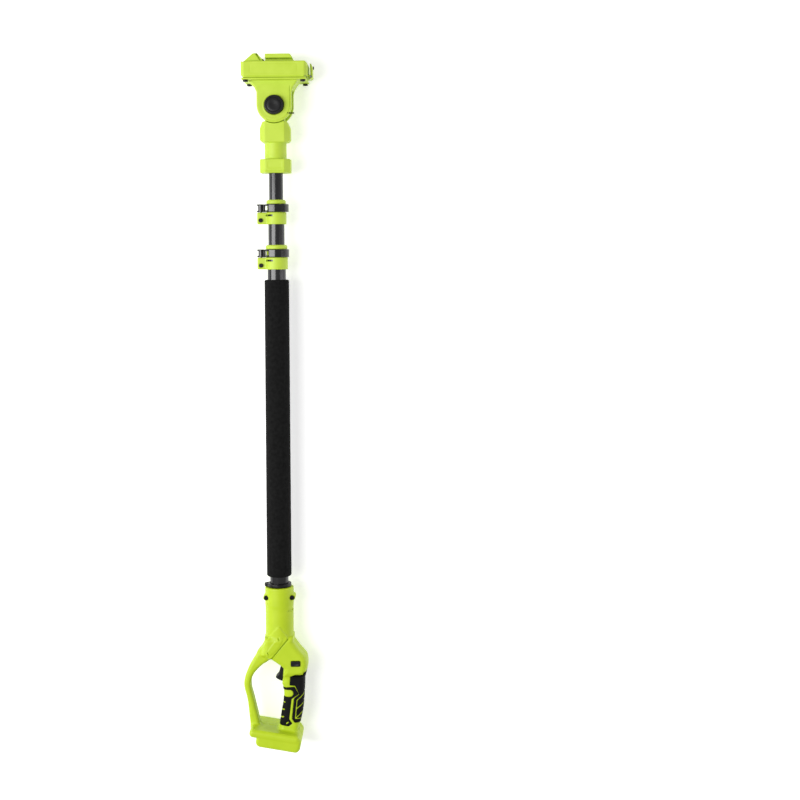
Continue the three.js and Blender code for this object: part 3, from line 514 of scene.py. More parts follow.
def collar(stage, tube_r, body):
    """The lime collar: a ring with the clamp boss, the lever's groove and a chamfered top ring."""
    low, high = local(f"{stage}_collar")
    y0, top = low[1], high[1]
    outer, groove = tube_r + 3.2, tube_r + 1.5
    ring_top, groove_top = y0 + COLLAR_RING, top - COLLAR_TOP
    profile = np.array([
        (-1, y0), (outer, y0), (outer, ring_top), (groove, ring_top), (groove, groove_top),
        (outer - 0.7, groove_top), (outer - 0.7, top - 2), (outer - 2.7, top), (-1, top),
    ])
    bolt_y = y0 + CLAMP_BOLT_RISE

    def shape(x, y, z):
        across = np.hypot(x, z)
        ring = polygon(across, y, profile) - 0.05
        boss = block(x, y, z, (low[0], y0, -8), (-tube_r + 3, ring_top, 8), 2.2)
        whole = least(ring, most(least(ring, boss, 2.0), y - ring_top, 0.25))
        whole = emboss(whole, slab(np.abs(x + 10) - 5.6, y - y0 - 14, 2.2, 1) + 0 * z
                       + only(z > 0, 9), 0.35)
        whole = between(whole, y, y0, top)
        lip = tube_r - TUBE_WALL - 0.5 + GAP
        whole = most(whole, -drum(x, z, y, tube_r + GAP, y0 - 5, top - COLLAR_LIP + GAP, 0.1), 0.3)
        whole = most(whole, lip - across, 0.3)
        slit = block(x, y, z, (-40, y0 - 5, -1), (-tube_r + 1, ring_top - 4, 1), 0.2)
        window = block(x, y, z, (-15.7, y0 + 12.6, tube_r - 8), (-4.2, y0 + 15.4, 30), 0.9)
        bolt = drum(x - PIN_X, y - bolt_y, z, 2.3, -30, 30, 0.2)
        seat = drum(x - PIN_X, y - bolt_y, z, 3.9, 7.6, 30, 0.2)
        pin = drum(x - PIN_X, z - PIN_Z, y, 1.9, y0 + 11.7, ring_top + 5, 0.2)
        return most(whole, -least(least(slit, window), least(least(bolt, seat), pin)), 0.3)

    piece = moulded(f"{stage} collar", shape, (low[0] - 2, y0 - 2, -outer - 2),
                    (outer + 2, top + 2, outer + 2), 0.75)
    place(piece, body, PALE_LIME, "lime_plastic", f"{stage}_collar")


def round_screw(name, r, shaft_r, face, foot, at, recess=1.1):
    """A domed round head with a dished centre, on a plain shaft; at is its place across z."""
    turn = np.linspace(0, math.pi / 2, 6)
    edge = 0.6
    rim = np.stack([r - edge + edge * np.cos(turn), face - edge + edge * np.sin(turn)], 1)
    profile = np.vstack([
        [(0, foot), (shaft_r, foot), (shaft_r, face - 1.7), (r, face - 1.7)], rim,
        [(r * 0.5, face), (r * 0.38, face - recess), (0, face - recess)],
    ])
    return turned(name, profile, "z", MOUTH + (at[0], at[1], 0), 40)


def clamp_bolt(stage, body):
    """The clamp screw: its head in front of the boss and its nut behind."""
    low, high = local(f"{stage}_clamp_bolt")
    at = (low + high)[:2] / 2
    piece = round_screw(f"{stage} clamp bolt", 3.3, 2.0, high[2], low[2] + 2, at)
    place(piece, body, BLACK_STEEL, "black_steel", f"{stage}_clamp_bolt")
    hexagon = np.array([(3.6 * math.cos(a), 3.6 * math.sin(a)) for a in np.arange(6) * math.pi / 3])

    def shape(x, y, z):
        nut = slab(polygon(x, y, hexagon), z, 1.2, 0.35)
        return most(nut, 2.3 - np.hypot(x, y), 0.1)

    nut = moulded(f"{stage} clamp nut", shape, (-5, -5, -2.5), (5, 5, 2.5), 0.35,
                  MOUTH + (at[0], at[1], low[2] + 1.2))
    place(nut, body, BLACK_STEEL, "black_steel", f"{stage}_clamp_bolt")


def lever(stage, tube_r, body):
    """The cam lever: a band round the groove, thickest at its knuckle, which turns on the lever
    pin."""
    low, high = local(f"{stage}_lever")
    y0, y1 = low[1], high[1]
    inner = tube_r + 1.9
    turn = np.radians(np.linspace(-10, 172, 48))
    band = np.vstack([
        np.stack([LEVER_R * np.cos(turn), LEVER_R * np.sin(turn)], 1),
        np.stack([inner * np.cos(turn[::-1]), inner * np.sin(turn[::-1])], 1),
    ])
    mid_y, half = (y0 + y1) / 2, (y1 - y0) / 2

    def shape(x, y, z):
        wrap = slab(polygon(x, z, band), y - mid_y, half, 0.9)
        knuckle = drum(x - PIN_X, z - PIN_Z, y, 4.6, y0, y1, 0.9)
        whole = least(wrap, knuckle, 1.6)
        for foot in (y0, y1 - 2.6):
            whole = least(whole, block(x, y, z, (low[0], foot, 1.5), (PIN_X, foot + 2.6, 4.5), 0.6),
                          0.5)
        whole = between(whole, y, y0, y1)
        pin = drum(x - PIN_X, z - PIN_Z, y, 1.9, y0 - 3, y1 + 3, 0.1)
        window = block(x, y, z, (-16.5, y0 + 3, 2), (-11.5, y1 - 3, 30), 0.8)
        return most(whole, -least(pin, window), 0.3)

    piece = moulded(f"{stage} lever", shape, (low[0] - 2, y0 - 2, low[2] - 2),
                    (high[0] + 2, y1 + 2, high[2] + 2), 0.6)
    place(piece, body, GLOSS, "black_plastic", f"{stage}_lever")


def clamps():
    """Both clamps, each with its collar, bolt and lever."""
    for stage, tube_r, holder in (("lower", TUBE_R["lower"], "handle"),
                                  ("upper", TUBE_R["mid"], "mid_stage")):
        collar(stage, tube_r, holder)
        clamp_bolt(stage, holder)
        lever(stage, tube_r, f"{stage}_lever")


# ---------------------------------------------------------------- handle
NECK_R, BODY_HALF, GRIP_HALF, GUARD_HALF = 22.5, 22.0, 17.0, 12.0
NECK_FOOT = -84.0
NECK_EARS = ((-20.1, -15.8), (20.7, -15.8))
HANDLE_SCREWS = ((25, -97), (-21, -100), (15, -162), (7, -214), (-39, -205))
TRIGGER_PIVOT = (8.0, -119.0)
LOCK_AT, LOCK_SIZE = (26.2, -116.8), (14.2, 8.4)
FOOT_AT, FOOT_TILT = (-2.5, -222.0), math.radians(10)

PALM_SIDE = [
    (NECK_R, -84), (30.5, -95.4), (41.2, -108.7), (43, -122.9), (39.2, -137), (38.2, -161.2),
    (35.6, -193.6), (30, -218),
]
FINGER_SIDE = [(0, -214), (2.8, -196), (6.4, -176), (6.6, -160), (3.9, -150)]
BODY_LINE = np.vstack([
    [(-NECK_R, -76), (NECK_R, -76)], curve(PALM_SIDE[:5], closed=False),
    [(7.9, -137), (7.9, -126), (2.1, -121), (-13.8, -110.4), (-26, -104), (-NECK_R, -88)],
])
GRIP_LINE = np.vstack([
    [(5, -100)], curve(PALM_SIDE[2:], closed=False), [(26, -232), (-2, -232)],
    curve(FINGER_SIDE, closed=False), [(7.9, -126), (5, -118)],
])
GUARD_LINE = curve([
    (-20, -84), (-30, -96), (-38.6, -108.7), (-49.5, -127.3), (-55.2, -143), (-55.8, -156),
    (-50.5, -178.5),
    (-44.4, -224), (-31, -224), (-39.7, -180), (-45.4, -156), (-43.4, -141), (-35.3, -129.1),
    (-24, -119),
    (-10, -107), (-6, -92),
], 4)
# The raised strap that crosses the body from the neck into the guard, and the lens beside it.
STRAP_LINE = curve([(-2, -60), (6, -66), (13.5, -78), (2, -94), (-12, -111), (-26, -119),
                    (-37, -106), (-25, -90)], 4)
LENS_LINE = curve([(2, -75), (6, -80), (-3, -94), (-15, -104), (-19, -101), (-11, -88)], 4)

PALM_PANEL = np.array([
    (17.3, -138.3), (26.9, -133.9), (39.2, -131.1), (48, -130), (48, -210.4), (23.7, -210.4),
    (19.6, -204.4),
    (22.8, -174.6), (23.7, -171.9), (30.9, -166.3), (24.8, -152.7), (16.5, -151.9),
])
FINGER_PANEL = np.array([
    (-8, -156.5), (8.5, -155.5), (23.7, -154.3), (30.1, -165.6), (18.8, -173.5), (14.9, -204.8),
    (19.6, -211.9),
    (14, -215.9), (-8, -212.5),
])
PALM_LINES = (
    ((27.5, -175.4), (24.8, -203.7)), ((27.5, -175.4), (46, -159.6)), ((26.7, -188.7), (46, -174)),
    ((24.8, -203.7), (46, -186.2)), ((24.8, -203.7), (46, -206)),
)
FINGER_LINES = (((-10, -184), (8.2, -178.6)), ((-10, -195), (7.4, -189.6)),
                ((-10, -206.4), (6.2, -201)))


def foot_frame(x, y):
    """A point in the foot's own frame, which is tilted because the battery slides in at a slant."""
    dx, dy = x - FOOT_AT[0], y - FOOT_AT[1]
    cos, sin = math.cos(FOOT_TILT), math.sin(FOOT_TILT)
    return dx * cos - dy * sin, dx * sin + dy * cos


def handle_skin(x, y, z):
    """The handle's outside: neck, body, grip, guard and the two tiers of the foot, run together."""
    neck = drum(x, z, y, NECK_R, NECK_FOOT, 0, 1.6) + 0.5 * ramp(-y, 26, 33)
    for ex, ey in NECK_EARS:
        neck = least(neck, drum(x - ex, y - ey, z, 4.9, -10, 10, 0.8), 0.8)
    body = slab(polygon(x, y, BODY_LINE), z, BODY_HALF, 7)
    grip = slab(polygon(x, y, GRIP_LINE), z, GRIP_HALF, 8)
    guard = slab(polygon(x, y, GUARD_LINE), z, GUARD_HALF, 5)
    whole = least(least(least(neck, body, 3), grip, 6), guard, 6)
    fx, fy = foot_frame(x, y)
    upper = slab(slab(np.abs(fx + 3.5) - 39.5, fy + 5.5, 6.5, 6), z, 37.5, 6)
    lower = slab(slab(np.abs(fx - 4) - 35, fy + 13, 12, 8), z, 36.5, 5)
    whole = least(whole, least(upper, lower, 1.2), 5)
    whole = between(whole, z, -37.45, 37.45)
    front = only(z > 0)
    whole = emboss(whole, polygon(x, y, STRAP_LINE) + only(np.abs(z) > 5), 1.3, 1.2)
    whole = emboss(whole, polygon(x, y, LENS_LINE) + front, 0.7, 1.2)
    for start, end, width in (((14, -79), (-13, -111), 1.8), ((-0.5, -77), (1, -79.5), 1.7),
                              ((-17.5, -99), (-15.5, -102), 1.7), ((15, -36), (26, -36), 2.6)):
        whole = engrave(whole, stroke(x, y, start, end, width) + front, 1.5, 0.4)
    seam = np.abs(fy + 12) - 0.35
    return engrave(whole, most(seam, -(30 - np.abs(z))) + only(np.abs(fx) < 30, 9), 0.3, 0.3)


def palm_flat(x, y):
    """The palm pad's outline, less the ribs that stand between its fields."""
    flat = polygon(x, y, PALM_PANEL)
    for start, end in PALM_LINES:
        flat = most(flat, -stroke(x, y, start, end, 1.7))
    return flat


def finger_flat(x, y):
    """The finger pad's outline, less its tongue and notches."""
    flat = most(polygon(x, y, FINGER_PANEL), -stroke(x, y, (2, -164.5), (16.6, -164.5), 11))
    for start, end in FINGER_LINES:
        flat = most(flat, -stroke(x, y, start, end, 2.2))
    return most(flat, -stroke(x, y, (11, -211.6), (13.2, -210), 2.6))


def handle_hollows(x, y, z, fx, fy):
    """Everything cut out of the handle, as one distance."""
    deep = 6.6
    bore = drum(x, z, y, TUBE_R["lower"] + GAP, -95.3, 5, 0.1)
    wire = drum(x - 4, z, y, 9, -110, -94, 0.1)
    switch = block(x, y, z, (10.7, -152.3, -10.3), (34.3, -103.7, 10.3), 0.3)
    trigger = block(x, y, z, (-4, -151, -deep), (12, -120, deep), 0.3)
    knuckle = drum(x - TRIGGER_PIVOT[0], y - TRIGGER_PIVOT[1], z, 4.8, -deep, deep, 0.1)
    pin = drum(x - TRIGGER_PIVOT[0], y - TRIGGER_PIVOT[1], z, 2.2, -11.4, 11.4, 0.1)
    leads = block(x, y, z, (20, -226, -8), (30, -151, 8), 0.3)
    (bx, by), (w, h) = LOCK_AT, LOCK_SIZE
    shelf = block(x, y, z, (bx - w / 2 - 2.4, by - h / 2 - 2.4, 9),
                  (bx + w / 2 + 2.4, by + h / 2 + 2.4, 17.5), 0.2)
    button = block(x, y, z, (bx - w / 2 - GAP, by - h / 2 - GAP, 10),
                   (bx + w / 2 + GAP, by + h / 2 + GAP, 40), 1.6)
    slot = block(fx, fy, z, (-60, -19.8, -29.5), (30, -12.4, 29.5), 0.6)
    throat = block(fx, fy, z, (-60, -30, -25.5), (30, -18.8, 25.5), 0.6)
    pocket = block(fx, fy, z, (5.6, -13.4, -15.4), (26.4, -4.6, 15.4), 0.3)
    solids = [bore, wire, switch, trigger, knuckle, pin, leads, shelf, button, slot, throat, pocket]
    for ex, ey in NECK_EARS:
        across = np.hypot(x - ex, y - ey)
        solids += [across - 2.1, most(across - 3.9, 10 - np.abs(z))]
    for sx, sy in HANDLE_SCREWS:
        across = np.hypot(x - sx, y - sy)
        solids += [most(across - 3.5, z + 7.4), most(across - 2.3, z - 8.8)]
    return nearest(solids)


def handle_half(side):
    """One shell: the skin on its side of the parting plane, with the pads' beds and the hollows
    sunk in."""
    def shape(x, y, z):
        fx, fy = foot_frame(x, y)
        skin = handle_skin(x, y, z)
        pads = np.minimum(palm_flat(x, y), finger_flat(x, y)) - GAP
        skin = engrave(skin, pads + only(np.abs(z) >= 3), 1.1, 0.3)
        skin = most(skin, 0.15 - side * z, 0.7)
        return most(skin, -handle_hollows(x, y, z, fx, fy), 0.4)

    word = "front" if side > 0 else "back"
    z_span = (-1, 39) if side > 0 else (-39, 1)
    piece = moulded(f"handle shell {word}", shape, (-59, -257, z_span[0]), (46, 2, z_span[1]), 0.9)
    place(piece, "handle", LIME, "lime_plastic", f"handle_shell_{word}")


def pad(kind, flat_of, low, high, side):
    """A rubber pad: a layer of the grip's own surface, a little proud of it and wrapped to the
    parting line."""
    def shape(x, y, z):
        skin = handle_grip_skin(x, y, z)
        flat = flat_of(x, y)
        layer = most(skin - 0.55, -(skin + 0.85), 0.3)
        worn = most(layer, flat, 0.7)
        away = 30 if side > 0 else 0
        holes = nearest([np.hypot(x - sx, y - sy) - 4 for sx, sy in HANDLE_SCREWS]) + away
        return most(most(worn, 3.2 - side * z, 0.4), -holes, 0.3)

    word = "front" if side > 0 else "back"
    z_span = (2, GRIP_HALF + 2) if side > 0 else (-GRIP_HALF - 2, -2)
    piece = moulded(f"{kind} pad {word}", shape, (low[0], low[1], z_span[0]),
                    (high[0], high[1], z_span[1]), 0.6)
    place(piece, "handle", RUBBER, "black_rubber", f"{kind}_pad_{word}")


def handle_grip_skin(x, y, z):
    """The grip and body alone, for the pads that lie on them."""
    body = slab(polygon(x, y, BODY_LINE), z, BODY_HALF, 7)
    grip = slab(polygon(x, y, GRIP_LINE), z, GRIP_HALF, 8)
    return least(body, grip, 6)


def trigger():
    """The trigger: a blade with a finger hollow, turned about its knuckle."""
    low, high = local("trigger")
    px, py = TRIGGER_PIVOT
    blade = curve([
        (px - 4.5, py - 2), (px + 2.6, py - 3), (px + 2.8, py - 15), (px + 2.6, py - 27),
        (3.1, py - 29.2),
        (-2.4, py - 27), (-6.4, py - 24.2), (-5.6, py - 21), (-1.6, py - 16), (0.4, py - 9),
    ], 4)

    def shape(x, y, z):
        body = slab(polygon(x, y, blade), z, high[2], 2.2)
        whole = least(body, drum(x - px, y - py, z, 4, low[2], high[2], 0.8), 1.0)
        return most(whole, 1.8 - np.hypot(x - px, y - py), 0.2)

    piece = moulded("trigger blade", shape, (low[0] - 2, low[1] - 2, low[2] - 2),
                    (high[0] + 2, high[1] + 2, high[2] + 2), 0.5)
    place(piece, "trigger", BLACK, "black_plastic", "trigger")


def lock_button():
    """The lock-off button: a rounded key with a dished top, on a wider flange inside the shell."""
    low, high = local("lock_button")
    (bx, by), (w, h) = LOCK_AT, LOCK_SIZE

    def shape(x, y, z):
        key = block(x, y, z, (bx - w / 2, by - h / 2, low[2]), (bx + w / 2, by + h / 2, high[2]),
                    1.3)
        flange = block(x, y, z, (low[0], low[1], low[2]), (high[0], high[1], low[2] + 2), 0.3)
        dish = np.sqrt((x - bx) ** 2 / 4 + (y - by) ** 2 + (z - high[2] - 6) ** 2) - 6.6
        return least(most(key, -dish, 0.4), flange)

    piece = moulded("lock button", shape, low - 2, high + 2, 0.5)
    place(piece, "lock_button", BLACK, "black_plastic", "lock_button")


def neck_screws():
    """The two screws that pull the neck's ears together."""
    for name in ("left", "right"):
        low, high = local(f"neck_screw_{name}")
        at = (low + high)[:2] / 2
        piece = round_screw(f"neck screw {name}", 3.6, 1.8, high[2], low[2], at)
        place(piece, "handle", BLACK_STEEL, "black_steel", f"neck_screw_{name}")


def handle():
    """The whole handle: shells, pads, trigger, button and neck screws."""
    for side in (1, -1):
        handle_half(side)
        pad("palm", palm_flat, (14, -214), (47, -128), side)
        pad("finger", finger_flat, (-7, -219), (33, -150), side)
    trigger()
    lock_button()
    neck_screws()


# ---------------------------------------------------------------- coupler
LOBE_R, LOBE_GAP, TONGUE_R, TONGUE_HALF, EAR_HALF = 27.5, 1.3, 22.0, 13.0, 24.0
COUPLER_SCREWS = ((-19, 11), (19, 11), (-18, 58), (18, 58))


def coupler_half(side):
    """One coupler shell: foot block, neck, faceted block hollowed for the lobe, and half of the
    tongue."""
    y0 = COUPLER_Y
    neck_y, block_y, top_y = y0 + 22, y0 + 48, y0 + 81
    outline = np.array([
        (-20, block_y), (20, block_y), (24, block_y + 4), (24, top_y - 11), (19, top_y),
        (-19, top_y),
        (-24, top_y - 11), (-24, block_y + 4),
    ])

    def facet(x, z, half_width, half_depth, cut):
        """A rectangle across the pole with its four corners cut at 45 degrees."""
        flat = np.maximum(np.abs(x) - half_width, np.abs(z) - half_depth)
        return np.maximum(flat, (np.abs(x) + np.abs(z) - half_width - half_depth
                                 + cut) * math.sqrt(0.5))

    def shape(x, y, z):
        foot = slab(facet(x, z, 24, 20.5, 9), y - (y0 + neck_y) / 2, 11, 1.6)
        rim = engrave(foot, np.abs(y - y0 - 3.2) - 0.5 + 0 * x, 0.5, 0.4)
        neck = drum(x, z, y, 17.2, neck_y - 2, block_y + 2, 0.5)
        upper = most(slab(facet(x, z, 24, 20.5, 9), y - (block_y + top_y) / 2, 16.5, 1.6),
                     slab(polygon(x, y, outline), z, 20.5, 1.4), 0.8)
        bowl = np.hypot(x, y - PIVOT_Y) - LOBE_R - LOBE_GAP
        lip = most(np.abs(bowl) - 1.1, 18.2 - np.abs(z))
        upper = most(upper, -bowl, 0.7)
        tongue = slab(np.hypot(x, y - PIVOT_Y) - TONGUE_R, z, TONGUE_HALF, 1)
        root = block(x, y, z, (-15, top_y - 12, -TONGUE_HALF), (15, PIVOT_Y, TONGUE_HALF), 0.5)
        whole = least(least(least(rim, neck, 2.2), upper, 2.2), least(tongue, root), 0.5)
        whole = emboss(whole, lip, 0.35, 0.4)
        panel = slab(np.abs(x) - 11, y - y0 - 12.5, 5, 2) + only(side * z > 0)
        whole = engrave(whole, panel, 0.35, 0.5)
        whole = most(whole, -drum(x, z, y, TUBE_R["upper"] + GAP, y0 - 5, y0 + 18.3, 0.1), 0.4)
        whole = most(whole, 6 - np.hypot(x, z), 0.2)
        whole = most(whole, 5.3 - np.hypot(x, y - PIVOT_Y), 0.2)
        for sx, rise in COUPLER_SCREWS:
            across = np.hypot(x - sx, y - y0 - rise)
            head, shank = most(across - 3.3, z + 11.7), most(across - 1.8, z - 8.3)
            whole = most(whole, -np.minimum(head, shank), 0.2)
        return most(whole, 0.15 - side * z, 0.6)

    word = "front" if side > 0 else "back"
    z_span = (-1, 23) if side > 0 else (-23, 1)
    piece = moulded(f"coupler {word}", shape, (-26, y0 - 2, z_span[0]),
                    (26, PIVOT_Y + 24, z_span[1]), 0.7)
    place(piece, "upper_stage", PALE_LIME, "lime_plastic", f"coupler_{word}")


# ---------------------------------------------------------------- tilting head
CASE_LOW, CASE_HIGH = local("head_case")
CASE_LEFT, CASE_RIGHT, CASE_DEEP = -50.7, 52.8, 37.5
CASE_Y, CASE_TOP, RAIL_TOP = PIVOT_Y + 41.6, PIVOT_Y + 67.3, PIVOT_Y + 79.4
HEAD_SCREWS = ((CASE_LEFT + 7, 30), (CASE_RIGHT - 7, 30), (CASE_LEFT + 7, -30),
               (CASE_RIGHT - 7, -30))
RAIL_LEFT, RAIL_RIGHT, RAIL_DEEP, WEB_DEEP, FLANGE = -13.4, 31.4, 29.0, 25.0, 6.5
FLAP_HINGE = (CASE_RIGHT + 4.6, CASE_Y + 3.2)


def yoke():
    """Two ears that close round the tongue and flare into the plate under the case."""
    plate_top = CASE_Y - GAP
    plate_y = plate_top - 2.6
    shoulder = PIVOT_Y + 24
    arc = np.linspace(math.pi, 2 * math.pi, 30)
    ears = np.vstack([
        np.stack([LOBE_R * np.cos(arc), PIVOT_Y + LOBE_R * np.sin(arc)], 1),
        [(LOBE_R, shoulder - 4), (LOBE_R + 2.2, shoulder + 3), (LOBE_R + 6, shoulder + 9),
         (LOBE_R + 11, plate_y + 1),
         (-LOBE_R - 15, plate_y + 1), (-LOBE_R - 8, shoulder + 9), (-LOBE_R - 3, shoulder + 3),
         (-LOBE_R, shoulder - 4)],
    ])
    slot_top = PIVOT_Y + TONGUE_R + 2.5

    def shape(x, y, z):
        ear = slab(polygon(x, y, ears), z, EAR_HALF, 2.4)
        sheet = block(x, y, z, (CASE_LEFT + 1, plate_y, -CASE_DEEP + 1),
                      (CASE_RIGHT - 1, plate_top, CASE_DEEP - 1), 0.7)
        whole = least(ear, sheet, 3)
        whole = most(whole, y - plate_top, 0.25)
        # A seam runs down the right of the front ear and on under the lobe.
        rim = np.abs(np.hypot(x, y - PIVOT_Y) - LOBE_R + 2.6) - 0.5
        seam = np.where(y > PIVOT_Y, np.abs(x - LOBE_R + 2.6) - 0.5, rim)
        seam = most(most(seam, y - shoulder - 6), -x - 12) + only(z > 0)
        whole = engrave(whole, seam, 0.8, 0.4)
        collar_ring = np.abs(np.hypot(x, y - PIVOT_Y) - 16.8) - 0.9 + only(z > 0)
        whole = emboss(whole, collar_ring, 0.5, 0.5)
        gap = block(x, y, z, (-60, PIVOT_Y - 40, -13.6), (60, slot_top, 13.6), 0.5)
        button = np.hypot(x, y - PIVOT_Y) - 15.3
        bore = np.hypot(x, y - PIVOT_Y)
        solids = [
            gap, most(button, 18 - z), bore - 5.3, most(bore - 8.6, z + 17.8),
            most(np.hypot(x, z) - 6, slot_top - 1 - y),
            most(np.hypot(y - PIVOT_Y + 13, z - 22) - 1.3, 18 - x),
        ]
        for sx, sz in HEAD_SCREWS:
            solids.append(np.hypot(x - sx, z - sz) - 2.3 + only(y > plate_y - 4))
        return most(whole, -nearest(solids), 0.3)

    piece = moulded("yoke casting", shape, (CASE_LEFT - 1, PIVOT_Y - LOBE_R - 2, -38.5),
                    (CASE_RIGHT + 1, plate_top + 2, 38.5), 0.9)
    place(piece, "head", PALE_LIME, "lime_plastic", "yoke")


def head_case():
    """The battery-shaped case: a bevelled block, the latch wedge, the T rail with its slits, and
    the flap's lugs."""
    left, right, y0, top = CASE_LEFT, CASE_RIGHT, CASE_Y, CASE_TOP
    side_line = np.array([
        (left + 4, y0), (right - 4, y0), (right, y0 + 4), (right, top - 3.5), (right - 3.5, top),
        (left, top), (left, y0 + 4),
    ])
    wedge_line = np.array([
        (left, top - 8), (left, top - 3), (left + 18, top + 12.5), (left + 23.7, top + 14.3),
        (left + 27, top + 11),
        (left + 36.3, top), (left + 36.3, top - 8),
    ])
    flange_y = RAIL_TOP - FLANGE
    web_line = np.array([
        (RAIL_LEFT, top - 2), (RAIL_RIGHT, top - 2), (RAIL_RIGHT - 2.5, flange_y + 1),
        (RAIL_LEFT, flange_y + 1),
    ])
    flange_line = np.array([
        (RAIL_LEFT, flange_y), (RAIL_RIGHT - 2, flange_y), (RAIL_RIGHT - 4, RAIL_TOP - 2.5),
        (RAIL_RIGHT - 6.5, RAIL_TOP),
        (RAIL_LEFT, RAIL_TOP),
    ])
    hx, hy = FLAP_HINGE

    def shape(x, y, z):
        ends = np.maximum(np.abs(z) - CASE_DEEP,
                          (np.abs(x - 1) + np.abs(z) - 52 - CASE_DEEP + 5) * math.sqrt(0.5))
        body = most(slab(polygon(x, y, side_line), z, CASE_DEEP - 0.05, 2.2), ends, 1.0)
        wedge = slab(polygon(x, y, wedge_line), z, RAIL_DEEP, 1.4)
        web = slab(polygon(x, y, web_line), z, WEB_DEEP, 0.3)
        flange = slab(polygon(x, y, flange_line), z, RAIL_DEEP, 0.7)
        whole = least(least(least(body, wedge, 1.2), web, 0.6), flange, 0.6)
        for z0 in (14.3, -17.5):
            lug = most(least(block(x, y, z, (right - 2, y0 + 0.5, z0), (hx, hy + 2.6, z0 + 3.2),
                                   0.4),
                             drum(x - hx, y - hy, z, 2.6, z0, z0 + 3.2, 0.4)),
                       np.hypot(x - hx, y - hy) - 30)
            whole = least(whole, lug, 0.4)
        # The parting line near the foot, the gaps round the wedge and a panel line on each face.
        both = only(np.abs(z) > 30)
        whole = engrave(whole, np.abs(y - y0 - 1.9) - 0.8 + 0 * x, 1.3, 0.4)
        whole = engrave(whole, stroke(x, y, (left + 2, top - 0.6), (left + 27, top + 0.2), 0.9)
                        + only(np.abs(z) > 24), 0.9, 0.3)
        whole = engrave(whole, stroke(x, y, (left + 22.5, top + 13.5), (left + 31, top + 1.5), 1.8)
                        + only(np.abs(z) > 22), 2.4, 0.3)
        whole = engrave(whole, stroke(x, y, (RAIL_LEFT - 1, top + 4.6), (RAIL_RIGHT, top + 4.6),
                                      1.8) + only(np.abs(z) > 18), 5, 0.2)
        whole = engrave(whole, np.hypot(x - left - 34.5, y - top - 1.8) - 1.5
                        + only(np.abs(z) > 20), 1.6, 0.3)
        panel = slab(np.abs(x - 1) - 37, y - (y0 + top) / 2 - 1.4, 7.4, 3)
        whole = engrave(whole, np.abs(panel) - 0.35 + both, 0.35, 0.4)
        solids = [
            block(x, y, z, (-36, y0 - 3, -31), (36, top - 4, 31), 0.5),
            block(x, y, z, (-19.3, top - 8, -10.3), (-14.7, RAIL_TOP + 4, 10.3), 0.2),
            most(np.hypot(x - hx, y - hy) - 1.5, np.abs(z) - 30),
        ]
        solids += [block(x, y, z, (6, top - 5, rz - 1.2), (RAIL_RIGHT + 1, RAIL_TOP + 3, rz + 1.2),
                         0.2) for rz in (-10, 0, 10)]
        solids += [most(np.hypot(x - sx, z - sz) - 2.8, y - y0 - 12.8) for sx, sz in HEAD_SCREWS]
        return most(whole, -nearest(solids), 0.35)

    piece = moulded("head case", shape, (CASE_LOW[0] - 2, y0 - 2, -39),
                    (CASE_HIGH[0] + 2, CASE_HIGH[1] + 2, 39), 0.9)
    place(piece, "head", PALE_LIME, "lime_plastic", "head_case")


def head_screws():
    """The four screws that hold the yoke's plate to the case, heads down."""
    for number in range(1, 5):
        low, high = local(f"head_screw_{number}")
        at = (low + high) / 2
        turn = np.linspace(0, math.pi / 2, 6)
        rim = np.stack([3.3 + 0.7 * np.cos(turn), low[1] + 0.7 - 0.7 * np.sin(turn)], 1)
        profile = np.vstack([[(0, high[1]), (2, high[1]), (2, low[1] + 3), (4, low[1] + 3)], rim,
                             [(1.9, low[1]), (1.5, low[1] + 1.2), (0, low[1] + 1.2)]])
        piece = turned(f"head screw {number}", profile, "y", MOUTH + (at[0], 0, at[2]), 32)
        place(piece, "head", BLACK_STEEL, "black_steel", f"head_screw_{number}")


def tilt_button():
    """The round tilt button: an outer ring, a narrow groove and a slightly domed disc with a
    shallow centre."""
    face, foot = local("tilt_button")[1][2], local("tilt_button")[0][2]
    turn = np.linspace(0, math.pi / 2, 6)
    rim = np.stack([14 + np.cos(turn), face - 1 + np.sin(turn)], 1)
    profile = np.vstack([
        [(10, face - 3), (10, foot), (15, foot)], rim,
        [(12.2, face), (11.9, face - 1.3), (11.2, face - 1.3), (10.9, face - 0.2), (10.2, face),
         (6, face - 0.15),
         (3, face - 0.45), (0, face - 0.55), (0, face - 3), (10, face - 3)],
    ])
    piece = turned("tilt button", profile, "z", MOUTH + (0, PIVOT_Y, 0), 72)
    place(piece, "tilt_button", BLACK, "black_plastic", "tilt_button")


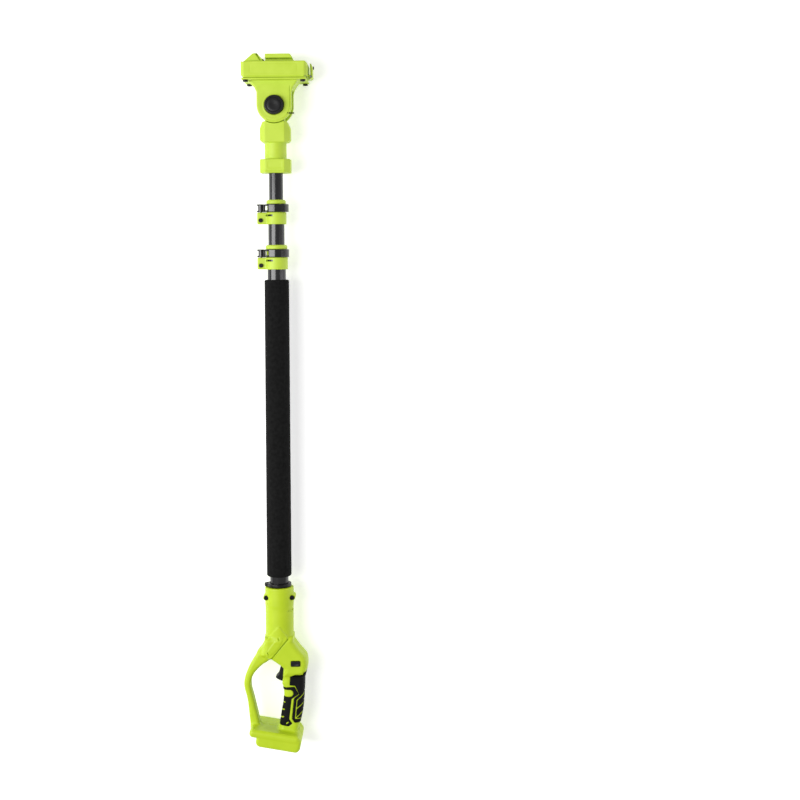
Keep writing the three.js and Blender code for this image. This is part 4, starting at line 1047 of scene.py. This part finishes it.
def release():
    """The release flap that leans against the case's right end, its stud, and the latch it
    drops."""
    low, high = local("release_flap")
    hx, hy = FLAP_HINGE
    line = np.array([
        (hx - 0.8, hy - 1), (hx + 2.2, hy - 1), (hx + 2.3, hy + 12), (hx + 1, hy + 19.5),
        (hx - 1, hy + 21), (hx - 1.4, hy + 19),
    ])

    def flap(x, y, z):
        leaf = slab(polygon(x, y, line), z, high[2], 0.7)
        whole = least(leaf, drum(x - hx, y - hy, z, 2.4, low[2], high[2], 0.5), 0.6)
        return most(whole, 1.5 - np.hypot(x - hx, y - hy), 0.1)

    piece = moulded("release flap", flap, low - 2, high + 2, 0.5)
    place(piece, "release_flap", PALE_LIME, "lime_plastic", "release_flap")
    low, high = local("release_stud")
    centre = (low + high) / 2
    length = high[0] - low[0]
    profile = [(0, 0), (2.6, 0), (2.6, length - 0.5), (2.1, length), (1, length - 0.25),
               (0, length - 0.25)]
    stud = turned("release stud", profile, "x", MOUTH + (low[0], centre[1], centre[2]), 32)
    place(stud, "release_flap", BLACK, "black_plastic", "release_stud")
    low, high = local("latch_hook")
    hook = np.array([(low[0], low[1]), (high[0], low[1]), (high[0], high[1] - 4.5),
                     (low[0], high[1])])

    def latch(x, y, z):
        return slab(polygon(x, y, hook), z, high[2], 0.5)

    piece = moulded("latch hook", latch, low - 2, high + 2, 0.5)
    place(piece, "latch", BLACK, "black_plastic", "latch_hook")


# ---------------------------------------------------------------- the CAD pieces that stay
KEPT = {
    BLACK: ("mid_guide_bush", "upper_guide_bush", "battery_terminal_block", "head_terminal_block",
            "switch_body"),
    STEEL: ("trigger_pin", "lower_lever_pin", "upper_lever_pin", "release_pin", "pivot_bolt",
            "pivot_nut"),
    BRASS: tuple(f"{row}_{n}" for row in ("battery_blade", "head_terminal_blade")
                 for n in (1, 2, 3)),
    BLACK_STEEL: ("stop_pin",) + tuple(f"handle_screw_{n}" for n in range(1, 6))
    + tuple(f"coupler_screw_{n}" for n in range(1, 5)),
}


def dress_kept_pieces():
    """Gives each CAD piece that stays its own material."""
    for material, nodes in KEPT.items():
        for node in nodes:
            for held in bpy.data.objects[node].material_slots:
                held.material = material


# ---------------------------------------------------------------- floor and light
def floor():
    """A pale sheet under the part: level, then rising as the square of the distance past its flat
    middle."""
    half_width, flat_share, curl, cells = 7000, 0.8, 250, 40
    row = cells + 1
    u, v = np.meshgrid(np.linspace(-1, 1, row), np.linspace(-1, 1, row), indexing="ij")
    rise = curl * np.maximum(np.hypot(u, v) - flat_share, 0) ** 2
    points = np.stack([u * half_width, v * half_width, rise], -1).reshape(-1, 3)
    i, j = (a.ravel() for a in np.meshgrid(np.arange(cells), np.arange(cells), indexing="ij"))
    faces = np.stack([i * row + j, (i + 1) * row + j, (i + 1) * row + j + 1, i * row + j + 1], 1)
    piece = new_piece("floor", points, faces, np.array([0, 0, 0]))
    # The sheet glows a little, like a light table, so that shadows on it stay faint.
    shader = FLOOR.node_tree.nodes["Principled BSDF"]
    shader.inputs["Emission Color"].default_value = (1, 1, 1, 1)
    shader.inputs["Emission Strength"].default_value = 0.4
    piece.data.materials.append(FLOOR)


FLOOR = finish("floor", (247, 247, 247), (250, 250, 250), (0.85, 0.95), patch=400, bump=(2, 0.01),
               specular=0.1)


def light(name, at, aim, width, height, watts):
    """A soft rectangular lamp that faces a point; all in metres."""
    data = bpy.data.lights.new(name, "AREA")
    data.shape = "RECTANGLE"
    data.size, data.size_y, data.energy = width, height, watts
    lamp = bpy.data.objects.new(name, data)
    bpy.context.scene.collection.objects.link(lamp)
    lamp.location = at
    way = np.array(aim, float) - np.array(at, float)
    turn = math.atan2(way[1], way[0]) - math.pi / 2
    lamp.rotation_euler = (math.acos(-way[2] / np.linalg.norm(way)), 0, turn)


def world():
    """An even white sky."""
    sky = bpy.data.worlds.new("studio")
    bpy.context.scene.world = sky
    sky.use_nodes = True
    background = sky.node_tree.nodes["Background"]
    background.inputs["Color"].default_value = (1, 1, 1, 1)
    background.inputs["Strength"].default_value = 0.5


def studio():
    """The sky, the floor and a large lamp on each side."""
    world()
    floor()
    light("left-box", (-1.6, 0.1, 2.0), (0, 0, 0.04), 0.8, 2.6, 62)
    light("right-box", (2.2, 0.0, 0.66), (0, 0, 0.04), 0.3, 2.4, 9)


tubes()
foam()
strap_ring()
clamps()
handle()
for half_of_coupler in (1, -1):
    coupler_half(half_of_coupler)
yoke()
head_case()
head_screws()
tilt_button()
release()
dress_kept_pieces()
studio()
